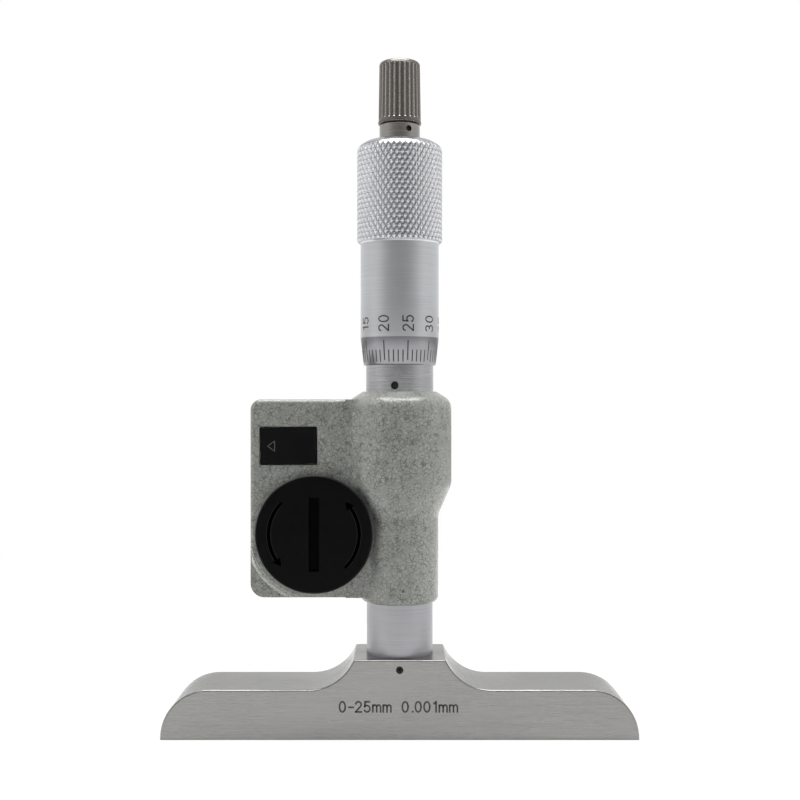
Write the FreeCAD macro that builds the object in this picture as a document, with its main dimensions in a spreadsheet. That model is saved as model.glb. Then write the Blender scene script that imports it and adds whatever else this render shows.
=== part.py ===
import FreeCAD, Part
import math
import os
import Sketcher

# Depth gauge: a micrometer head on a lapped base bar, with a die-cast display housing.
# Frame: Z up along the spindle, origin on the spindle axis at the base's lapped face,
# -Y the battery side, +Y the display side. All lengths in millimetres.

V = FreeCAD.Vector

drivingSizes = {
    # base bar, along X
    "baseLength": 101.5,
    "baseWidth": 18.0,
    "wingHeight": 10.6,
    "bossHeight": 16.9,
    "bossHalf": 9.74,
    "bossRound": 0.5,
    "sweepFoot": 12.94,
    "sweepRound": 10.4,
    "endRound": 10.3,
    "edgeBreak": 0.3,
    "stemSeatDepth": 10.0,
    "rodHoleRadius": 2.3,
    "rodHoleBreak": 0.4,
    "baseScrewHeight": 14.8,
    "baseScrewRadius": 0.75,
    "screwSocket": 0.35,
    "screwSink": 0.3,
    # stem tube and its guide bush
    "stemRadius": 7.2,
    "stemBore": 4.5,
    "stemTop": 45.0,
    "bushLength": 21.0,
    # running, turning and pocket clearances
    "runningGap": 0.03,
    "looseGap": 0.3,
    "pocketGap": 0.2,
    "screwGap": 0.05,
    # how far a cut runs past the face it opens
    "cutPast": 1.0,
    # housing barrel
    "barrelFoot": 28.1,
    "barrelFootRound": 1.2,
    "neckRadius": 8.44,
    "coneFoot": 47.0,
    "coneTop": 53.6,
    "coneRound": 3.0,
    "barrelRadius": 11.3,
    "shoulderCorner": 71.8,
    "shoulderRound": 3.0,
    "barrelTop": 73.8,
    "barrelLip": 8.0,
    "lockScrewX": 0.7,
    "lockScrewHeight": 31.2,
    "lockScrewRadius": 1.6,
    "lockScrewSink": 0.16,
    "chamberFloor": 56.0,
    "passageRadius": 4.6,
    # housing box
    "boxReach": 32.0,
    "boxTop": 72.1,
    "boxFoot": 29.6,
    "boxTopRound": 2.2,
    "boxFootRound": 3.0,
    "boxEdgeRound": 0.9,
    "rearFace": 6.0,
    "frontFace": 10.3,
    "barrelBlend": 2.2,
    "webReach": 11.6,
    "wallThick": 1.5,
    "boardLedge": 3.2,
    "ledgeWidth": 0.8,
    "cavityRight": 9.6,
    "deepCavityRight": 12.0,
    "wellFloorOut": 0.2,
    "bayFoot": 55.6,
    "bayFloor": 4.2,
    # battery, its well and its cover
    "coverX": -18.2,
    "coverZ": 43.4,
    "coverRadius": 12.6,
    "coverProud": 2.3,
    "coverRim": 0.4,
    "coverThread": 11.3,
    "threadLength": 1.1,
    "coinSlotWidth": 2.2,
    "coinSlotLength": 15.7,
    "coinSlotDepth": 1.3,
    "sealCentre": 11.7,
    "sealSection": 0.3,
    "bossCornerRadius": 14.2,
    "bossCornerStep": 0.9,
    "spotFaceRadius": 12.9,
    "batteryRadius": 10.0,
    "batteryHeight": 3.2,
    "batteryCap": 8.8,
    "wellDepth": 5.2,
    "coverSeatGap": 0.1,
    "contactSlot": 1.2,
    "contactWidth": 4.0,
    "contactThick": 0.25,
    "contactRise": 0.5,
    "contactTouch": 0.05,
    # data port and its cover
    "portX": -23.8,
    "portZ": 62.15,
    "portCoverWidth": 12.0,
    "portCoverHeight": 7.85,
    "portCoverThick": 1.05,
    "portCoverTilt": 1.5,
    "portRecess": 1.0,
    "socketWidth": 9.4,
    "socketHeight": 4.4,
    "socketWall": 1.0,
    "socketDepth": 5.4,
    # display side
    "bezelLeft": 31.0,
    "bezelRight": 9.1,
    "bezelFoot": 30.8,
    "bezelTop": 71.1,
    "bezelRound": 1.6,
    "bezelSink": 1.45,
    "bezelProud": 0.5,
    "windowWidth": 18.8,
    "windowHeight": 11.5,
    "windowZ": 60.4,
    "windowThick": 0.9,
    "windowRim": 0.9,
    "displayHeight": 3.9,
    "boardThick": 1.0,
    "buttonRadius": 2.2,
    "buttonFlange": 2.9,
    "buttonZ": 40.6,
    "buttonPitch": 6.9,
    "buttonProud": 0.3,
    "buttonTravel": 0.4,
    "matGap": 0.35,
    "buttonFlangeThick": 1.2,
    "matHalf": 4.0,
    # encoder
    "chamberRadius": 7.4,
    "statorThick": 1.0,
    "tongueWidth": 5.0,
    "tongueReach": 13.6,
    "discRadius": 7.0,
    "discThick": 0.8,
    "rotorSpigot": 4.2,
    "rotorBushRadius": 5.4,
    "rotorBushTop": 61.7,
    "keyWidth": 1.0,
    "keyHeight": 2.0,
    "keySink": 0.7,
    # thread carrier sleeve, adjusting nut and graduated sleeve
    "carrierFoot": 62.0,
    "carrierFlangeTop": 68.7,
    "carrierTop": 112.0,
    "sleeveBore": 6.2,
    "sleeveRadius": 7.35,
    "sleeveTop": 105.0,
    "sleeveHole": 0.875,
    "sleeveHoleHeight": 75.1,
    "sleeveHoleTurn": -8.6,
    "nutRadius": 6.9,
    "nutFoot": 106.0,
    "nutHeight": 5.0,
    "threadFoot": 92.0,
    "threadRadius": 4.0,
    "slotWidth": 0.8,
    "slotFoot": 101.0,
    # spindle, thimble and rod
    "spindleRadius": 3.5,
    "spindleFoot": 13.0,
    "spindleThreadFoot": 78.0,
    "spindleHeadFoot": 118.0,
    "spindleHeadRadius": 5.0,
    "spindleTop": 127.5,
    "rodRadius": 2.0,
    "rodTip": 0.4,
    "rodTop": 124.4,
    "rodPocketRadius": 3.3,
    "rodPocketFloor": 119.0,
    "rodNutRadius": 3.1,
    "rodNutHeight": 2.4,
    "lockNutHeight": 1.9,
    "keywayFoot": 37.0,
    "keywayTop": 68.0,
    "thimbleFoot": 79.5,
    "thimbleFootRadius": 7.85,
    "thimbleTaperTop": 85.5,
    "thimbleRadius": 8.54,
    "thimbleBore": 7.5,
    "thimbleCeiling": 122.0,
    "thimbleTop": 128.9,
    "thimbleTopRadius": 7.95,
    "gripFoot": 105.9,
    "gripBreak": 0.7,
    "gripTopBreak": 1.3,
    "gripRadius": 9.3,
    # ratchet
    "collarRadius": 4.42,
    "collarTop": 132.0,
    "collarRound": 0.3,
    "collarHole": 0.65,
    "collarHoleHeight": 130.6,
    "collarHoleTurn": 27.0,
    "spigotFoot": 125.0,
    "postRadius": 1.5,
    "postTop": 141.2,
    "ratchetRadius": 3.5,
    "ratchetTop": 133.4,
    "toothCount": 12.0,
    "toothDepth": 0.4,
    "springRadius": 2.3,
    "springWire": 0.25,
    "springTurns": 5.0,
    "screwHeadRadius": 2.9,
    "screwHeadHeight": 1.2,
    "screwShank": 0.8,
    "knobFoot": 132.15,
    "knobSkirtTop": 134.0,
    "knobSkirtRadius": 4.72,
    "knobFluteFoot": 134.3,
    "knobFootRadius": 4.63,
    "knobTopRadius": 4.47,
    "knobTop": 145.8,
    "knobTopRound": 0.8,
    "knobBore": 3.4,
    "knobCup": 3.8,
    "knobWeb": 1.2,
    "knobCeiling": 142.7,
    "fluteCount": 24.0,
    "fluteRadius": 0.34,
}

doc = FreeCAD.newDocument("depthGauge")
sheet = doc.addObject("Spreadsheet::Sheet", "Sizes")
for row, (alias, number) in enumerate(drivingSizes.items(), start=1):
    sheet.set(f"A{row}", alias)
    sheet.set(f"B{row}", str(number))
    sheet.setAlias(f"B{row}", alias)
doc.recompute()


class Size:
    # A dimension: its expression on the sheet, and its value for first positions
    def __init__(self, text, value):
        self.text = text
        self.value = value

    def __add__(self, other):
        other = asSize(other)
        return Size(f"({self.text} + {other.text})", self.value + other.value)

    def __sub__(self, other):
        other = asSize(other)
        return Size(f"({self.text} - {other.text})", self.value - other.value)

    def __mul__(self, other):
        other = asSize(other)
        return Size(f"({self.text} * {other.text})", self.value * other.value)

    def __truediv__(self, other):
        other = asSize(other)
        return Size(f"({self.text} / {other.text})", self.value / other.value)

    def __neg__(self):
        return Size(f"(-1 * {self.text})", -self.value)


def asSize(thing):
    if isinstance(thing, Size):
        return thing
    return Size(str(thing), float(thing))


def sine(size):
    return Size(f"sin({size.text})", math.sin(math.radians(size.value)))


def cosine(size):
    return Size(f"cos({size.text})", math.cos(math.radians(size.value)))


class Sheet:
    # Sizes read from the sheet by name
    def __getattr__(self, alias):
        return Size(f"Sizes.{alias}", drivingSizes[alias])


s = Sheet()


def bind(thing, name, size):
    # a property that follows the sheet
    thing.setExpression(name, asSize(size).text)


def newBody(label):
    body = doc.addObject("PartDesign::Body", label)
    body.Label = label
    return body


def sketchOn(body, role, lift=0, turn=0):
    # a sketch on an origin plane, turned about its upright and lifted along its normal
    sketch = body.newObject("Sketcher::SketchObject", body.Label + "Sketch")
    plane = [f for f in body.Origin.OriginFeatures if f.Role == role][0]
    sketch.AttachmentSupport = [(plane, "")]
    sketch.MapMode = "FlatFace"
    swing = FreeCAD.Rotation(V(0, 1, 0), asSize(turn).value)
    sketch.AttachmentOffset = FreeCAD.Placement(V(0, 0, asSize(lift).value), swing)
    if asSize(turn).value == 0:
        bind(sketch, "AttachmentOffset.Base.z", lift)
        return sketch
    bind(sketch, "AttachmentOffset.Rotation.Angle", turn)
    bind(sketch, "AttachmentOffset.Base.x", asSize(lift) * sine(turn))
    bind(sketch, "AttachmentOffset.Base.z", asSize(lift) * cosine(turn))
    return sketch


def fix(sketch, geometry, vertex, across, up):
    # hold a point at its place from the sketch's origin
    for kind, size in (("DistanceX", across), ("DistanceY", up)):
        size = asSize(size)
        number = sketch.addConstraint(Sketcher.Constraint(kind, -1, 1, geometry, vertex, size.value))
        sketch.setExpression(f"Constraints[{number}]", size.text)


def outline(sketch, corners):
    # A closed outline of straight runs. A corner is (across, up) or (across, up, rounding).
    count = len(corners)
    places = [V(asSize(c[0]).value, asSize(c[1]).value, 0) for c in corners]
    leaving = []
    arriving = []
    arcs = {}
    for i, corner in enumerate(corners):
        here = places[i]
        back = (places[i - 1] - here).normalize()
        ahead = (places[(i + 1) % count] - here).normalize()
        if len(corner) == 2:
            arriving.append(here)
            leaving.append(here)
            continue
        radius = asSize(corner[2]).value
        half = back.getAngle(ahead) / 2
        reach = radius / math.tan(half)
        centre = here + (back + ahead).normalize() * (radius / math.sin(half))
        arriving.append(here + back * reach)
        leaving.append(here + ahead * reach)
        leftTurn = back.cross(ahead).z < 0
        first, last = (arriving[i], leaving[i]) if leftTurn else (leaving[i], arriving[i])
        a = math.atan2(first.y - centre.y, first.x - centre.x)
        b = math.atan2(last.y - centre.y, last.x - centre.x)
        if b < a:
            b += 2 * math.pi
        arcs[i] = (Part.ArcOfCircle(Part.Circle(centre, V(0, 0, 1), radius), a, b), leftTurn)
    first = sketch.GeometryCount
    for i in range(count):
        sketch.addGeometry(Part.LineSegment(leaving[i], arriving[(i + 1) % count]))
    for i, corner in enumerate(corners):
        inward = first + (i - 1) % count
        outward = first + i
        if i not in arcs:
            sketch.addConstraint(Sketcher.Constraint("Coincident", inward, 2, outward, 1))
            fix(sketch, outward, 1, corner[0], corner[1])
            continue
        curve, leftTurn = arcs[i]
        arc = sketch.addGeometry(curve)
        near, far = (1, 2) if leftTurn else (2, 1)
        sketch.addConstraint(Sketcher.Constraint("Tangent", inward, 2, arc, near))
        sketch.addConstraint(Sketcher.Constraint("Tangent", arc, far, outward, 1))
        radius = asSize(corner[2])
        number = sketch.addConstraint(Sketcher.Constraint("Radius", arc, radius.value))
        sketch.setExpression(f"Constraints[{number}]", radius.text)
        mark = sketch.addGeometry(Part.Point(places[i]), True)
        fix(sketch, mark, 1, corner[0], corner[1])
        sketch.addConstraint(Sketcher.Constraint("PointOnObject", mark, 1, inward))
        sketch.addConstraint(Sketcher.Constraint("PointOnObject", mark, 1, outward))


def ring(sketch, across, up, radius):
    # a circle held by its centre and radius
    place = V(asSize(across).value, asSize(up).value, 0)
    radius = asSize(radius)
    circle = sketch.addGeometry(Part.Circle(place, V(0, 0, 1), radius.value))
    fix(sketch, circle, 3, across, up)
    number = sketch.addConstraint(Sketcher.Constraint("Radius", circle, radius.value))
    sketch.setExpression(f"Constraints[{number}]", radius.text)


def block(sketch, left, right, foot, top, rounding=None):
    # an upright rectangle, its corners rounded alike
    corners = [(left, foot), (right, foot), (right, top), (left, top)]
    if rounding is not None:
        corners = [corner + (rounding,) for corner in corners]
    outline(sketch, corners)


def turned(body, corners, kind="PartDesign::Revolution"):
    # material added or cut by turning (radius, height) corners about the upright
    sketch = sketchOn(body, "XZ_Plane")
    outline(sketch, corners)
    feature = body.newObject(kind, body.Label + "Turned")
    feature.Profile = sketch
    feature.ReferenceAxis = (sketch, ["V_Axis"])
    feature.Angle = 360
    doc.recompute()
    return feature


def grooved(body, corners):
    return turned(body, corners, "PartDesign::Groove")


def padded(body, sketch, length, back=False, even=False):
    feature = body.newObject("PartDesign::Pad", body.Label + "Pad")
    feature.Profile = sketch
    bind(feature, "Length", length)
    feature.Reversed = back
    if even:
        feature.SideType = "Symmetric"
    doc.recompute()
    return feature


def pocketed(body, sketch, depth, back=False):
    # cuts against the sketch's normal, or along it with back
    before = body.Shape.Volume
    feature = body.newObject("PartDesign::Pocket", body.Label + "Pocket")
    feature.Profile = sketch
    bind(feature, "Length", depth)
    feature.Reversed = back
    doc.recompute()
    if body.Shape.Volume >= before:
        raise ValueError(f"{feature.Name} cuts nothing")
    return feature


def polar(body, feature, count):
    # copies of one feature about the upright
    pattern = body.newObject("PartDesign::PolarPattern", body.Label + "Pattern")
    pattern.Originals = [feature]
    axis = [f for f in body.Origin.OriginFeatures if f.Role == "Z_Axis"][0]
    pattern.Axis = (axis, [""])
    pattern.Angle = 360
    bind(pattern, "Occurrences", count)
    body.Tip = pattern
    doc.recompute()
    return pattern


def rounded(body, size, test):
    # a fillet on each edge of the body that the test picks
    tip = body.Tip
    names = [f"Edge{i}" for i, e in enumerate(tip.Shape.Edges, start=1) if test(e)]
    feature = body.newObject("PartDesign::Fillet", body.Label + "Round")
    feature.Base = (tip, names)
    bind(feature, "Radius", size)
    doc.recompute()
    return feature


def lying(edge, axis, level):
    # whether an edge lies in the plane where this axis reads level
    low = getattr(edge.BoundBox, axis + "Min")
    high = getattr(edge.BoundBox, axis + "Max")
    return abs(low - level) < 0.02 and abs(high - level) < 0.02


def facing(body, side, across, out, up):
    # Stands a turned piece on the -Y side (side -1) or the +Y side (side 1) of the frame,
    # its own upright pointing outward.
    body.Placement = FreeCAD.Placement(V(0, 0, 0), FreeCAD.Rotation(V(1, 0, 0), -90 * side))
    bind(body, "Placement.Base.x", across)
    bind(body, "Placement.Base.y", asSize(out) * side)
    bind(body, "Placement.Base.z", up)


seatFloor = s.bossHeight - s.stemSeatDepth


def makeBase():
    body = newBody("base")
    half = s.baseLength / 2
    sketch = sketchOn(body, "XZ_Plane")
    outline(sketch, [
        (-half, 0),
        (half, 0),
        (half, s.wingHeight, s.endRound),
        (s.sweepFoot, s.wingHeight, s.sweepRound),
        (s.bossHalf, s.bossHeight, s.bossRound),
        (-s.bossHalf, s.bossHeight, s.bossRound),
        (-s.sweepFoot, s.wingHeight, s.sweepRound),
        (-half, s.wingHeight, s.endRound),
    ])
    padded(body, sketch, s.baseWidth, even=True)
    side = s.baseWidth.value / 2
    rounded(body, s.edgeBreak,
            lambda e: lying(e, "Y", side) or lying(e, "Y", -side))
    grooved(body, [
        (0, -1),
        (s.rodHoleRadius + s.rodHoleBreak, -1),
        (s.rodHoleRadius + s.rodHoleBreak, 0),
        (s.rodHoleRadius, s.rodHoleBreak),
        (s.rodHoleRadius, seatFloor),
        (s.stemRadius, seatFloor),
        (s.stemRadius, s.bossHeight + s.cutPast),
        (0, s.bossHeight + s.cutPast),
    ])
    hole = sketchOn(body, "XZ_Plane")
    ring(hole, 0, s.baseScrewHeight, s.baseScrewRadius + s.screwGap)
    pocketed(body, hole, s.baseWidth, back=True)


def makeGrubScrew(label, radius, inner, outer, across, up):
    # a headless screw lying along Y, its slotless socket outward
    body = newBody(label)
    length = outer - inner
    turned(body, [
        (0, 0),
        (radius, 0),
        (radius, length),
        (s.screwSocket, length),
        (0, length - s.screwSocket),
    ])
    facing(body, -1, across, inner, up)


def makeStem():
    body = newBody("stem_tube")
    turned(body, [
        (s.stemBore, seatFloor),
        (s.stemRadius, seatFloor),
        (s.stemRadius, s.stemTop),
        (s.stemBore, s.stemTop),
    ])
    bush = newBody("guide_bush")
    turned(bush, [
        (s.spindleRadius + s.runningGap, s.stemTop - s.bushLength),
        (s.stemBore, s.stemTop - s.bushLength),
        (s.stemBore, s.stemTop),
        (s.spindleRadius + s.runningGap, s.stemTop),
    ])


wellRadius = s.batteryRadius + s.pocketGap
cavityLeft = -(s.boxReach - s.wallThick)
cavityFoot = s.boxFoot + s.wallThick
cavityTop = s.boxTop - s.wallThick
bezelBack = s.frontFace - s.bezelSink
flangeFoot = bezelBack - s.looseGap - s.buttonFlangeThick
bezelFace = s.frontFace + s.bezelProud
bezelX = -(s.bezelLeft + s.bezelRight) / 2
threadDepth = s.threadLength + s.pocketGap


def makeHousing():
    body = newBody("housing")
    depth = s.rearFace + s.frontFace
    # box, rounded round its rear and front outlines
    box = sketchOn(body, "XZ_Plane", s.rearFace)
    outline(box, [
        (-s.webReach, s.boxFoot),
        (-s.webReach, s.boxTop),
        (-s.boxReach, s.boxTop, s.boxTopRound),
        (-s.boxReach, s.boxFoot, s.boxFootRound),
    ])
    padded(body, box, depth, back=True)
    rear = -s.rearFace.value
    front = s.frontFace.value
    web = -s.webReach.value
    rounded(body, s.boxEdgeRound,
            lambda e: lying(e, "Y", rear) and e.CenterOfMass.x < web - 0.1)
    rounded(body, s.boxEdgeRound,
            lambda e: lying(e, "Y", front) and e.CenterOfMass.x < web - 0.1)
    # web from the box into the barrel
    link = sketchOn(body, "XZ_Plane", s.rearFace)
    block(link, -s.webReach, 0, s.boxFoot, s.boxTop)
    padded(body, link, depth, back=True)
    # barrel with its cone and sloping shoulder
    turned(body, [
        (0, s.barrelFoot),
        (s.neckRadius, s.barrelFoot, s.barrelFootRound),
        (s.neckRadius, s.coneFoot, s.coneRound),
        (s.barrelRadius, s.coneTop, s.coneRound),
        (s.barrelRadius, s.shoulderCorner, s.shoulderRound),
        (s.barrelLip, s.barrelTop),
        (0, s.barrelTop),
    ])
    # hollow blend where the rear face runs into the barrel
    rounded(body, s.barrelBlend,
            lambda e: lying(e, "Y", rear) and e.BoundBox.XMin > web + 0.1
            and e.BoundBox.XMax < 0 and e.BoundBox.ZLength > 0.3)
    makeHousingRear(body)
    makeHousingFront(body)
    # bores for the stem, the spindle and the thread carrier
    grooved(body, [
        (0, s.barrelFoot - s.cutPast),
        (s.stemRadius, s.barrelFoot - s.cutPast),
        (s.stemRadius, s.stemTop),
        (s.passageRadius, s.stemTop),
        (s.passageRadius, s.chamberFloor),
        (s.chamberRadius, s.chamberFloor),
        (s.chamberRadius, s.barrelTop + s.cutPast),
        (0, s.barrelTop + s.cutPast),
    ])
    window = sketchOn(body, "YZ_Plane", -(s.deepCavityRight + s.ledgeWidth))
    halfTongue = s.tongueWidth / 2 + s.pocketGap
    block(window, -halfTongue, halfTongue, s.chamberFloor, s.chamberFloor + s.statorThick * 2)
    pocketed(body, window, s.deepCavityRight - s.chamberRadius + s.ledgeWidth * 2, back=True)
    plug = sketchOn(body, "XZ_Plane")
    ring(plug, s.lockScrewX, s.lockScrewHeight, s.lockScrewRadius + s.screwGap)
    pocketed(body, plug, s.barrelRadius, back=True)


def makeHousingRear(body):
    # the low corner is stepped back outside the battery boss
    step = sketchOn(body, "XZ_Plane", s.rearFace)
    cornerStep(step)
    pocketed(body, step, s.bossCornerStep)
    spot = sketchOn(body, "XZ_Plane", s.rearFace)
    ring(spot, s.coverX, s.coverZ, s.spotFaceRadius)
    pocketed(body, spot, s.barrelRadius, back=True)
    thread = sketchOn(body, "XZ_Plane", s.rearFace)
    ring(thread, s.coverX, s.coverZ, s.coverThread + s.screwGap)
    pocketed(body, thread, threadDepth)
    well = sketchOn(body, "XZ_Plane", s.rearFace)
    ring(well, s.coverX, s.coverZ, wellRadius)
    pocketed(body, well, s.wellDepth)
    recess = sketchOn(body, "XZ_Plane", s.rearFace)
    halfWide = s.portCoverWidth / 2 + s.pocketGap
    halfHigh = s.portCoverHeight / 2 + s.pocketGap
    block(recess, s.portX - halfWide, s.portX + halfWide,
          s.portZ - halfHigh, s.portZ + halfHigh, s.edgeBreak)
    pocketed(body, recess, s.portRecess)
    mouth = sketchOn(body, "XZ_Plane", s.rearFace)
    block(mouth, s.portX - s.socketWidth / 2, s.portX + s.socketWidth / 2,
          s.portZ - s.socketHeight / 2, s.portZ + s.socketHeight / 2)
    pocketed(body, mouth, s.rearFace)


def cornerStep(sketch):
    # the region below and left of the boss, outside its circle
    radius = s.bossCornerRadius
    beyond = s.boxReach + s.cutPast
    centre = V(s.coverX.value, s.coverZ.value, 0)
    curve = Part.Circle(centre, V(0, 0, 1), radius.value)
    arc = sketch.addGeometry(Part.ArcOfCircle(curve, math.pi, 1.5 * math.pi))
    number = sketch.addConstraint(Sketcher.Constraint("Radius", arc, radius.value))
    sketch.setExpression(f"Constraints[{number}]", radius.text)
    fix(sketch, arc, 3, s.coverX, s.coverZ)
    stops = [
        (s.coverX, s.coverZ - radius),
        (s.coverX, s.boxFoot - s.cutPast),
        (-beyond, s.boxFoot - s.cutPast),
        (-beyond, s.coverZ),
        (s.coverX - radius, s.coverZ),
    ]
    places = [V(asSize(x).value, asSize(z).value, 0) for x, z in stops]
    lines = [sketch.addGeometry(Part.LineSegment(places[i], places[i + 1])) for i in range(4)]
    sketch.addConstraint(Sketcher.Constraint("Coincident", arc, 2, lines[0], 1))
    for i in range(3):
        sketch.addConstraint(Sketcher.Constraint("Coincident", lines[i], 2, lines[i + 1], 1))
        fix(sketch, lines[i + 1], 1, stops[i + 1][0], stops[i + 1][1])
    sketch.addConstraint(Sketcher.Constraint("Coincident", lines[3], 2, arc, 1))
    sketch.addConstraint(Sketcher.Constraint("Vertical", lines[0]))
    sketch.addConstraint(Sketcher.Constraint("Horizontal", lines[3]))


def makeHousingFront(body):
    # bezel seat, board ledge, deep cavity and port bay, each cut in from the front
    seat = sketchOn(body, "XZ_Plane", -s.frontFace)
    block(seat, -s.bezelLeft, -s.bezelRight, s.bezelFoot, s.bezelTop, s.bezelRound)
    pocketed(body, seat, s.bezelSink, back=True)
    ledge = sketchOn(body, "XZ_Plane", -s.frontFace)
    block(ledge, cavityLeft, -s.cavityRight, cavityFoot, cavityTop)
    pocketed(body, ledge, s.frontFace - s.boardLedge, back=True)
    deep = sketchOn(body, "XZ_Plane", -s.frontFace)
    block(deep, cavityLeft + s.ledgeWidth, -s.deepCavityRight,
          cavityFoot + s.ledgeWidth, cavityTop - s.ledgeWidth)
    pocketed(body, deep, s.frontFace - s.wellFloorOut, back=True)
    bay = sketchOn(body, "XZ_Plane", -s.frontFace)
    block(bay, cavityLeft + s.ledgeWidth, -s.deepCavityRight,
          s.bayFoot, cavityTop - s.ledgeWidth)
    pocketed(body, bay, s.frontFace + s.bayFloor, back=True)
    slots = sketchOn(body, "XZ_Plane", -s.frontFace)
    for left, right in ((tailSlotX - s.contactSlot / 2, tailSlotX + s.contactSlot / 2),
                        (clipSlotX - s.contactSlot / 2, clipSlotX + s.contactSlot / 2)):
        block(slots, left, right, s.coverZ - s.contactWidth / 2 - s.pocketGap,
              s.coverZ + s.contactWidth / 2 + s.pocketGap)
    pocketed(body, slots, s.frontFace + s.rearFace - threadDepth, back=True)


tailSlotX = s.coverX - s.contactSlot
clipSlotX = s.coverX - wellRadius - s.contactSlot / 2 + s.pocketGap


def makeCarrier():
    body = newBody("inner_sleeve")
    outer = s.sleeveBore - s.runningGap
    turned(body, [
        (s.threadRadius + s.looseGap, s.carrierFoot),
        (s.chamberRadius, s.carrierFoot),
        (s.chamberRadius, s.carrierFlangeTop),
        (outer, s.carrierFlangeTop),
        (outer, s.carrierTop),
        (s.threadRadius + s.runningGap, s.carrierTop),
        (s.threadRadius + s.runningGap, s.threadFoot),
        (s.threadRadius + s.looseGap, s.threadFoot),
    ])
    slot = sketchOn(body, "XZ_Plane")
    block(slot, -s.slotWidth / 2, s.slotWidth / 2, s.slotFoot, s.carrierTop + s.cutPast)
    cut = pocketed(body, slot, s.chamberRadius)
    polar(body, cut, 3)
    nut = newBody("adjusting_nut")
    turned(nut, [
        (outer, s.nutFoot),
        (s.nutRadius, s.nutFoot, s.edgeBreak),
        (s.nutRadius, s.nutFoot + s.nutHeight, s.edgeBreak),
        (outer, s.nutFoot + s.nutHeight),
    ])


def makeGraduatedSleeve():
    body = newBody("graduated_sleeve")
    foot = s.carrierFlangeTop + s.looseGap
    turned(body, [
        (s.sleeveBore, foot),
        (s.sleeveRadius, foot),
        (s.sleeveRadius, s.sleeveTop, s.edgeBreak),
        (s.sleeveBore, s.sleeveTop),
    ])
    hole = sketchOn(body, "XZ_Plane", s.sleeveBore + s.edgeBreak, s.sleeveHoleTurn)
    ring(hole, 0, s.sleeveHoleHeight, s.sleeveHole)
    pocketed(body, hole, s.sleeveRadius, back=True)


discFoot = s.chamberFloor + s.statorThick + s.looseGap
bushFoot = discFoot + s.discThick


def makeEncoder():
    stator = newBody("encoder_stator")
    plate = sketchOn(stator, "XY_Plane", s.chamberFloor)
    ring(plate, 0, 0, s.chamberRadius)
    padded(stator, plate, s.statorThick)
    tongue = sketchOn(stator, "XY_Plane", s.chamberFloor)
    block(tongue, -s.tongueReach, 0, -s.tongueWidth / 2, s.tongueWidth / 2)
    padded(stator, tongue, s.statorThick)
    bore = sketchOn(stator, "XY_Plane", s.chamberFloor)
    ring(bore, 0, 0, s.passageRadius)
    pocketed(stator, bore, s.statorThick, back=True)
    disc = newBody("encoder_rotor")
    turned(disc, [
        (s.rotorSpigot, discFoot),
        (s.discRadius, discFoot),
        (s.discRadius, bushFoot),
        (s.rotorSpigot, bushFoot),
    ])
    bush = newBody("rotor_bush")
    bore = s.spindleRadius + s.runningGap
    turned(bush, [
        (bore, discFoot),
        (s.rotorSpigot, discFoot),
        (s.rotorSpigot, bushFoot),
        (s.rotorBushRadius, bushFoot),
        (s.rotorBushRadius, s.rotorBushTop, s.edgeBreak),
        (bore, s.rotorBushTop),
    ])
    keyFoot = bushFoot + s.looseGap
    slot = sketchOn(bush, "YZ_Plane")
    block(slot, -s.keyWidth / 2, s.keyWidth / 2, keyFoot, keyFoot + s.keyHeight)
    pocketed(bush, slot, s.rotorBushRadius * 2, back=True)
    key = newBody("drive_key")
    inner = s.spindleRadius - s.keySink
    foot = sketchOn(key, "YZ_Plane", inner)
    block(foot, -s.keyWidth / 2, s.keyWidth / 2, keyFoot, keyFoot + s.keyHeight)
    padded(key, foot, s.rotorBushRadius - inner - s.screwGap)


def makeSpindle():
    body = newBody("spindle")
    rodBore = s.rodRadius + s.screwGap
    turned(body, [
        (rodBore, s.spindleFoot),
        (s.spindleRadius, s.spindleFoot, s.edgeBreak),
        (s.spindleRadius, s.spindleThreadFoot),
        (s.threadRadius, s.spindleThreadFoot),
        (s.threadRadius, s.spindleHeadFoot),
        (s.spindleHeadRadius, s.spindleHeadFoot),
        (s.spindleHeadRadius, s.spindleTop),
        (s.rodPocketRadius, s.spindleTop),
        (s.rodPocketRadius, s.rodPocketFloor),
        (rodBore, s.rodPocketFloor),
    ])
    keyway = sketchOn(body, "YZ_Plane", s.spindleRadius - s.keySink - s.screwGap)
    half = s.keyWidth / 2 + s.screwGap
    block(keyway, -half, half, s.keywayFoot, s.keywayTop)
    pocketed(body, keyway, s.spindleRadius, back=True)


def makeThimble():
    body = newBody("thimble")
    turned(body, [
        (s.thimbleBore, s.thimbleFoot),
        (s.thimbleFootRadius, s.thimbleFoot),
        (s.thimbleRadius, s.thimbleTaperTop),
        (s.thimbleRadius, s.gripFoot),
        (s.gripRadius, s.gripFoot + s.gripBreak),
        (s.gripRadius, s.thimbleTop - s.gripTopBreak),
        (s.thimbleTopRadius, s.thimbleTop),
        (s.rodPocketRadius, s.thimbleTop),
        (s.rodPocketRadius, s.spindleTop),
        (s.spindleHeadRadius, s.spindleTop),
        (s.spindleHeadRadius, s.thimbleCeiling),
        (s.thimbleBore, s.thimbleCeiling),
    ])


def makeRod():
    rod = newBody("measuring_rod")
    turned(rod, [
        (0, s.rodTip),
        (s.rodRadius, s.rodTip, s.edgeBreak),
        (s.rodRadius, s.rodTop, s.edgeBreak),
        (0, s.rodTop),
    ])
    foot = s.rodPocketFloor
    for label, height in (("rod_head_nut", s.rodNutHeight), ("rod_lock_nut", s.lockNutHeight)):
        nut = newBody(label)
        turned(nut, [
            (s.rodRadius, foot),
            (s.rodNutRadius, foot),
            (s.rodNutRadius, foot + height, s.edgeBreak),
            (s.rodRadius, foot + height),
        ])
        foot = foot + height


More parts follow.
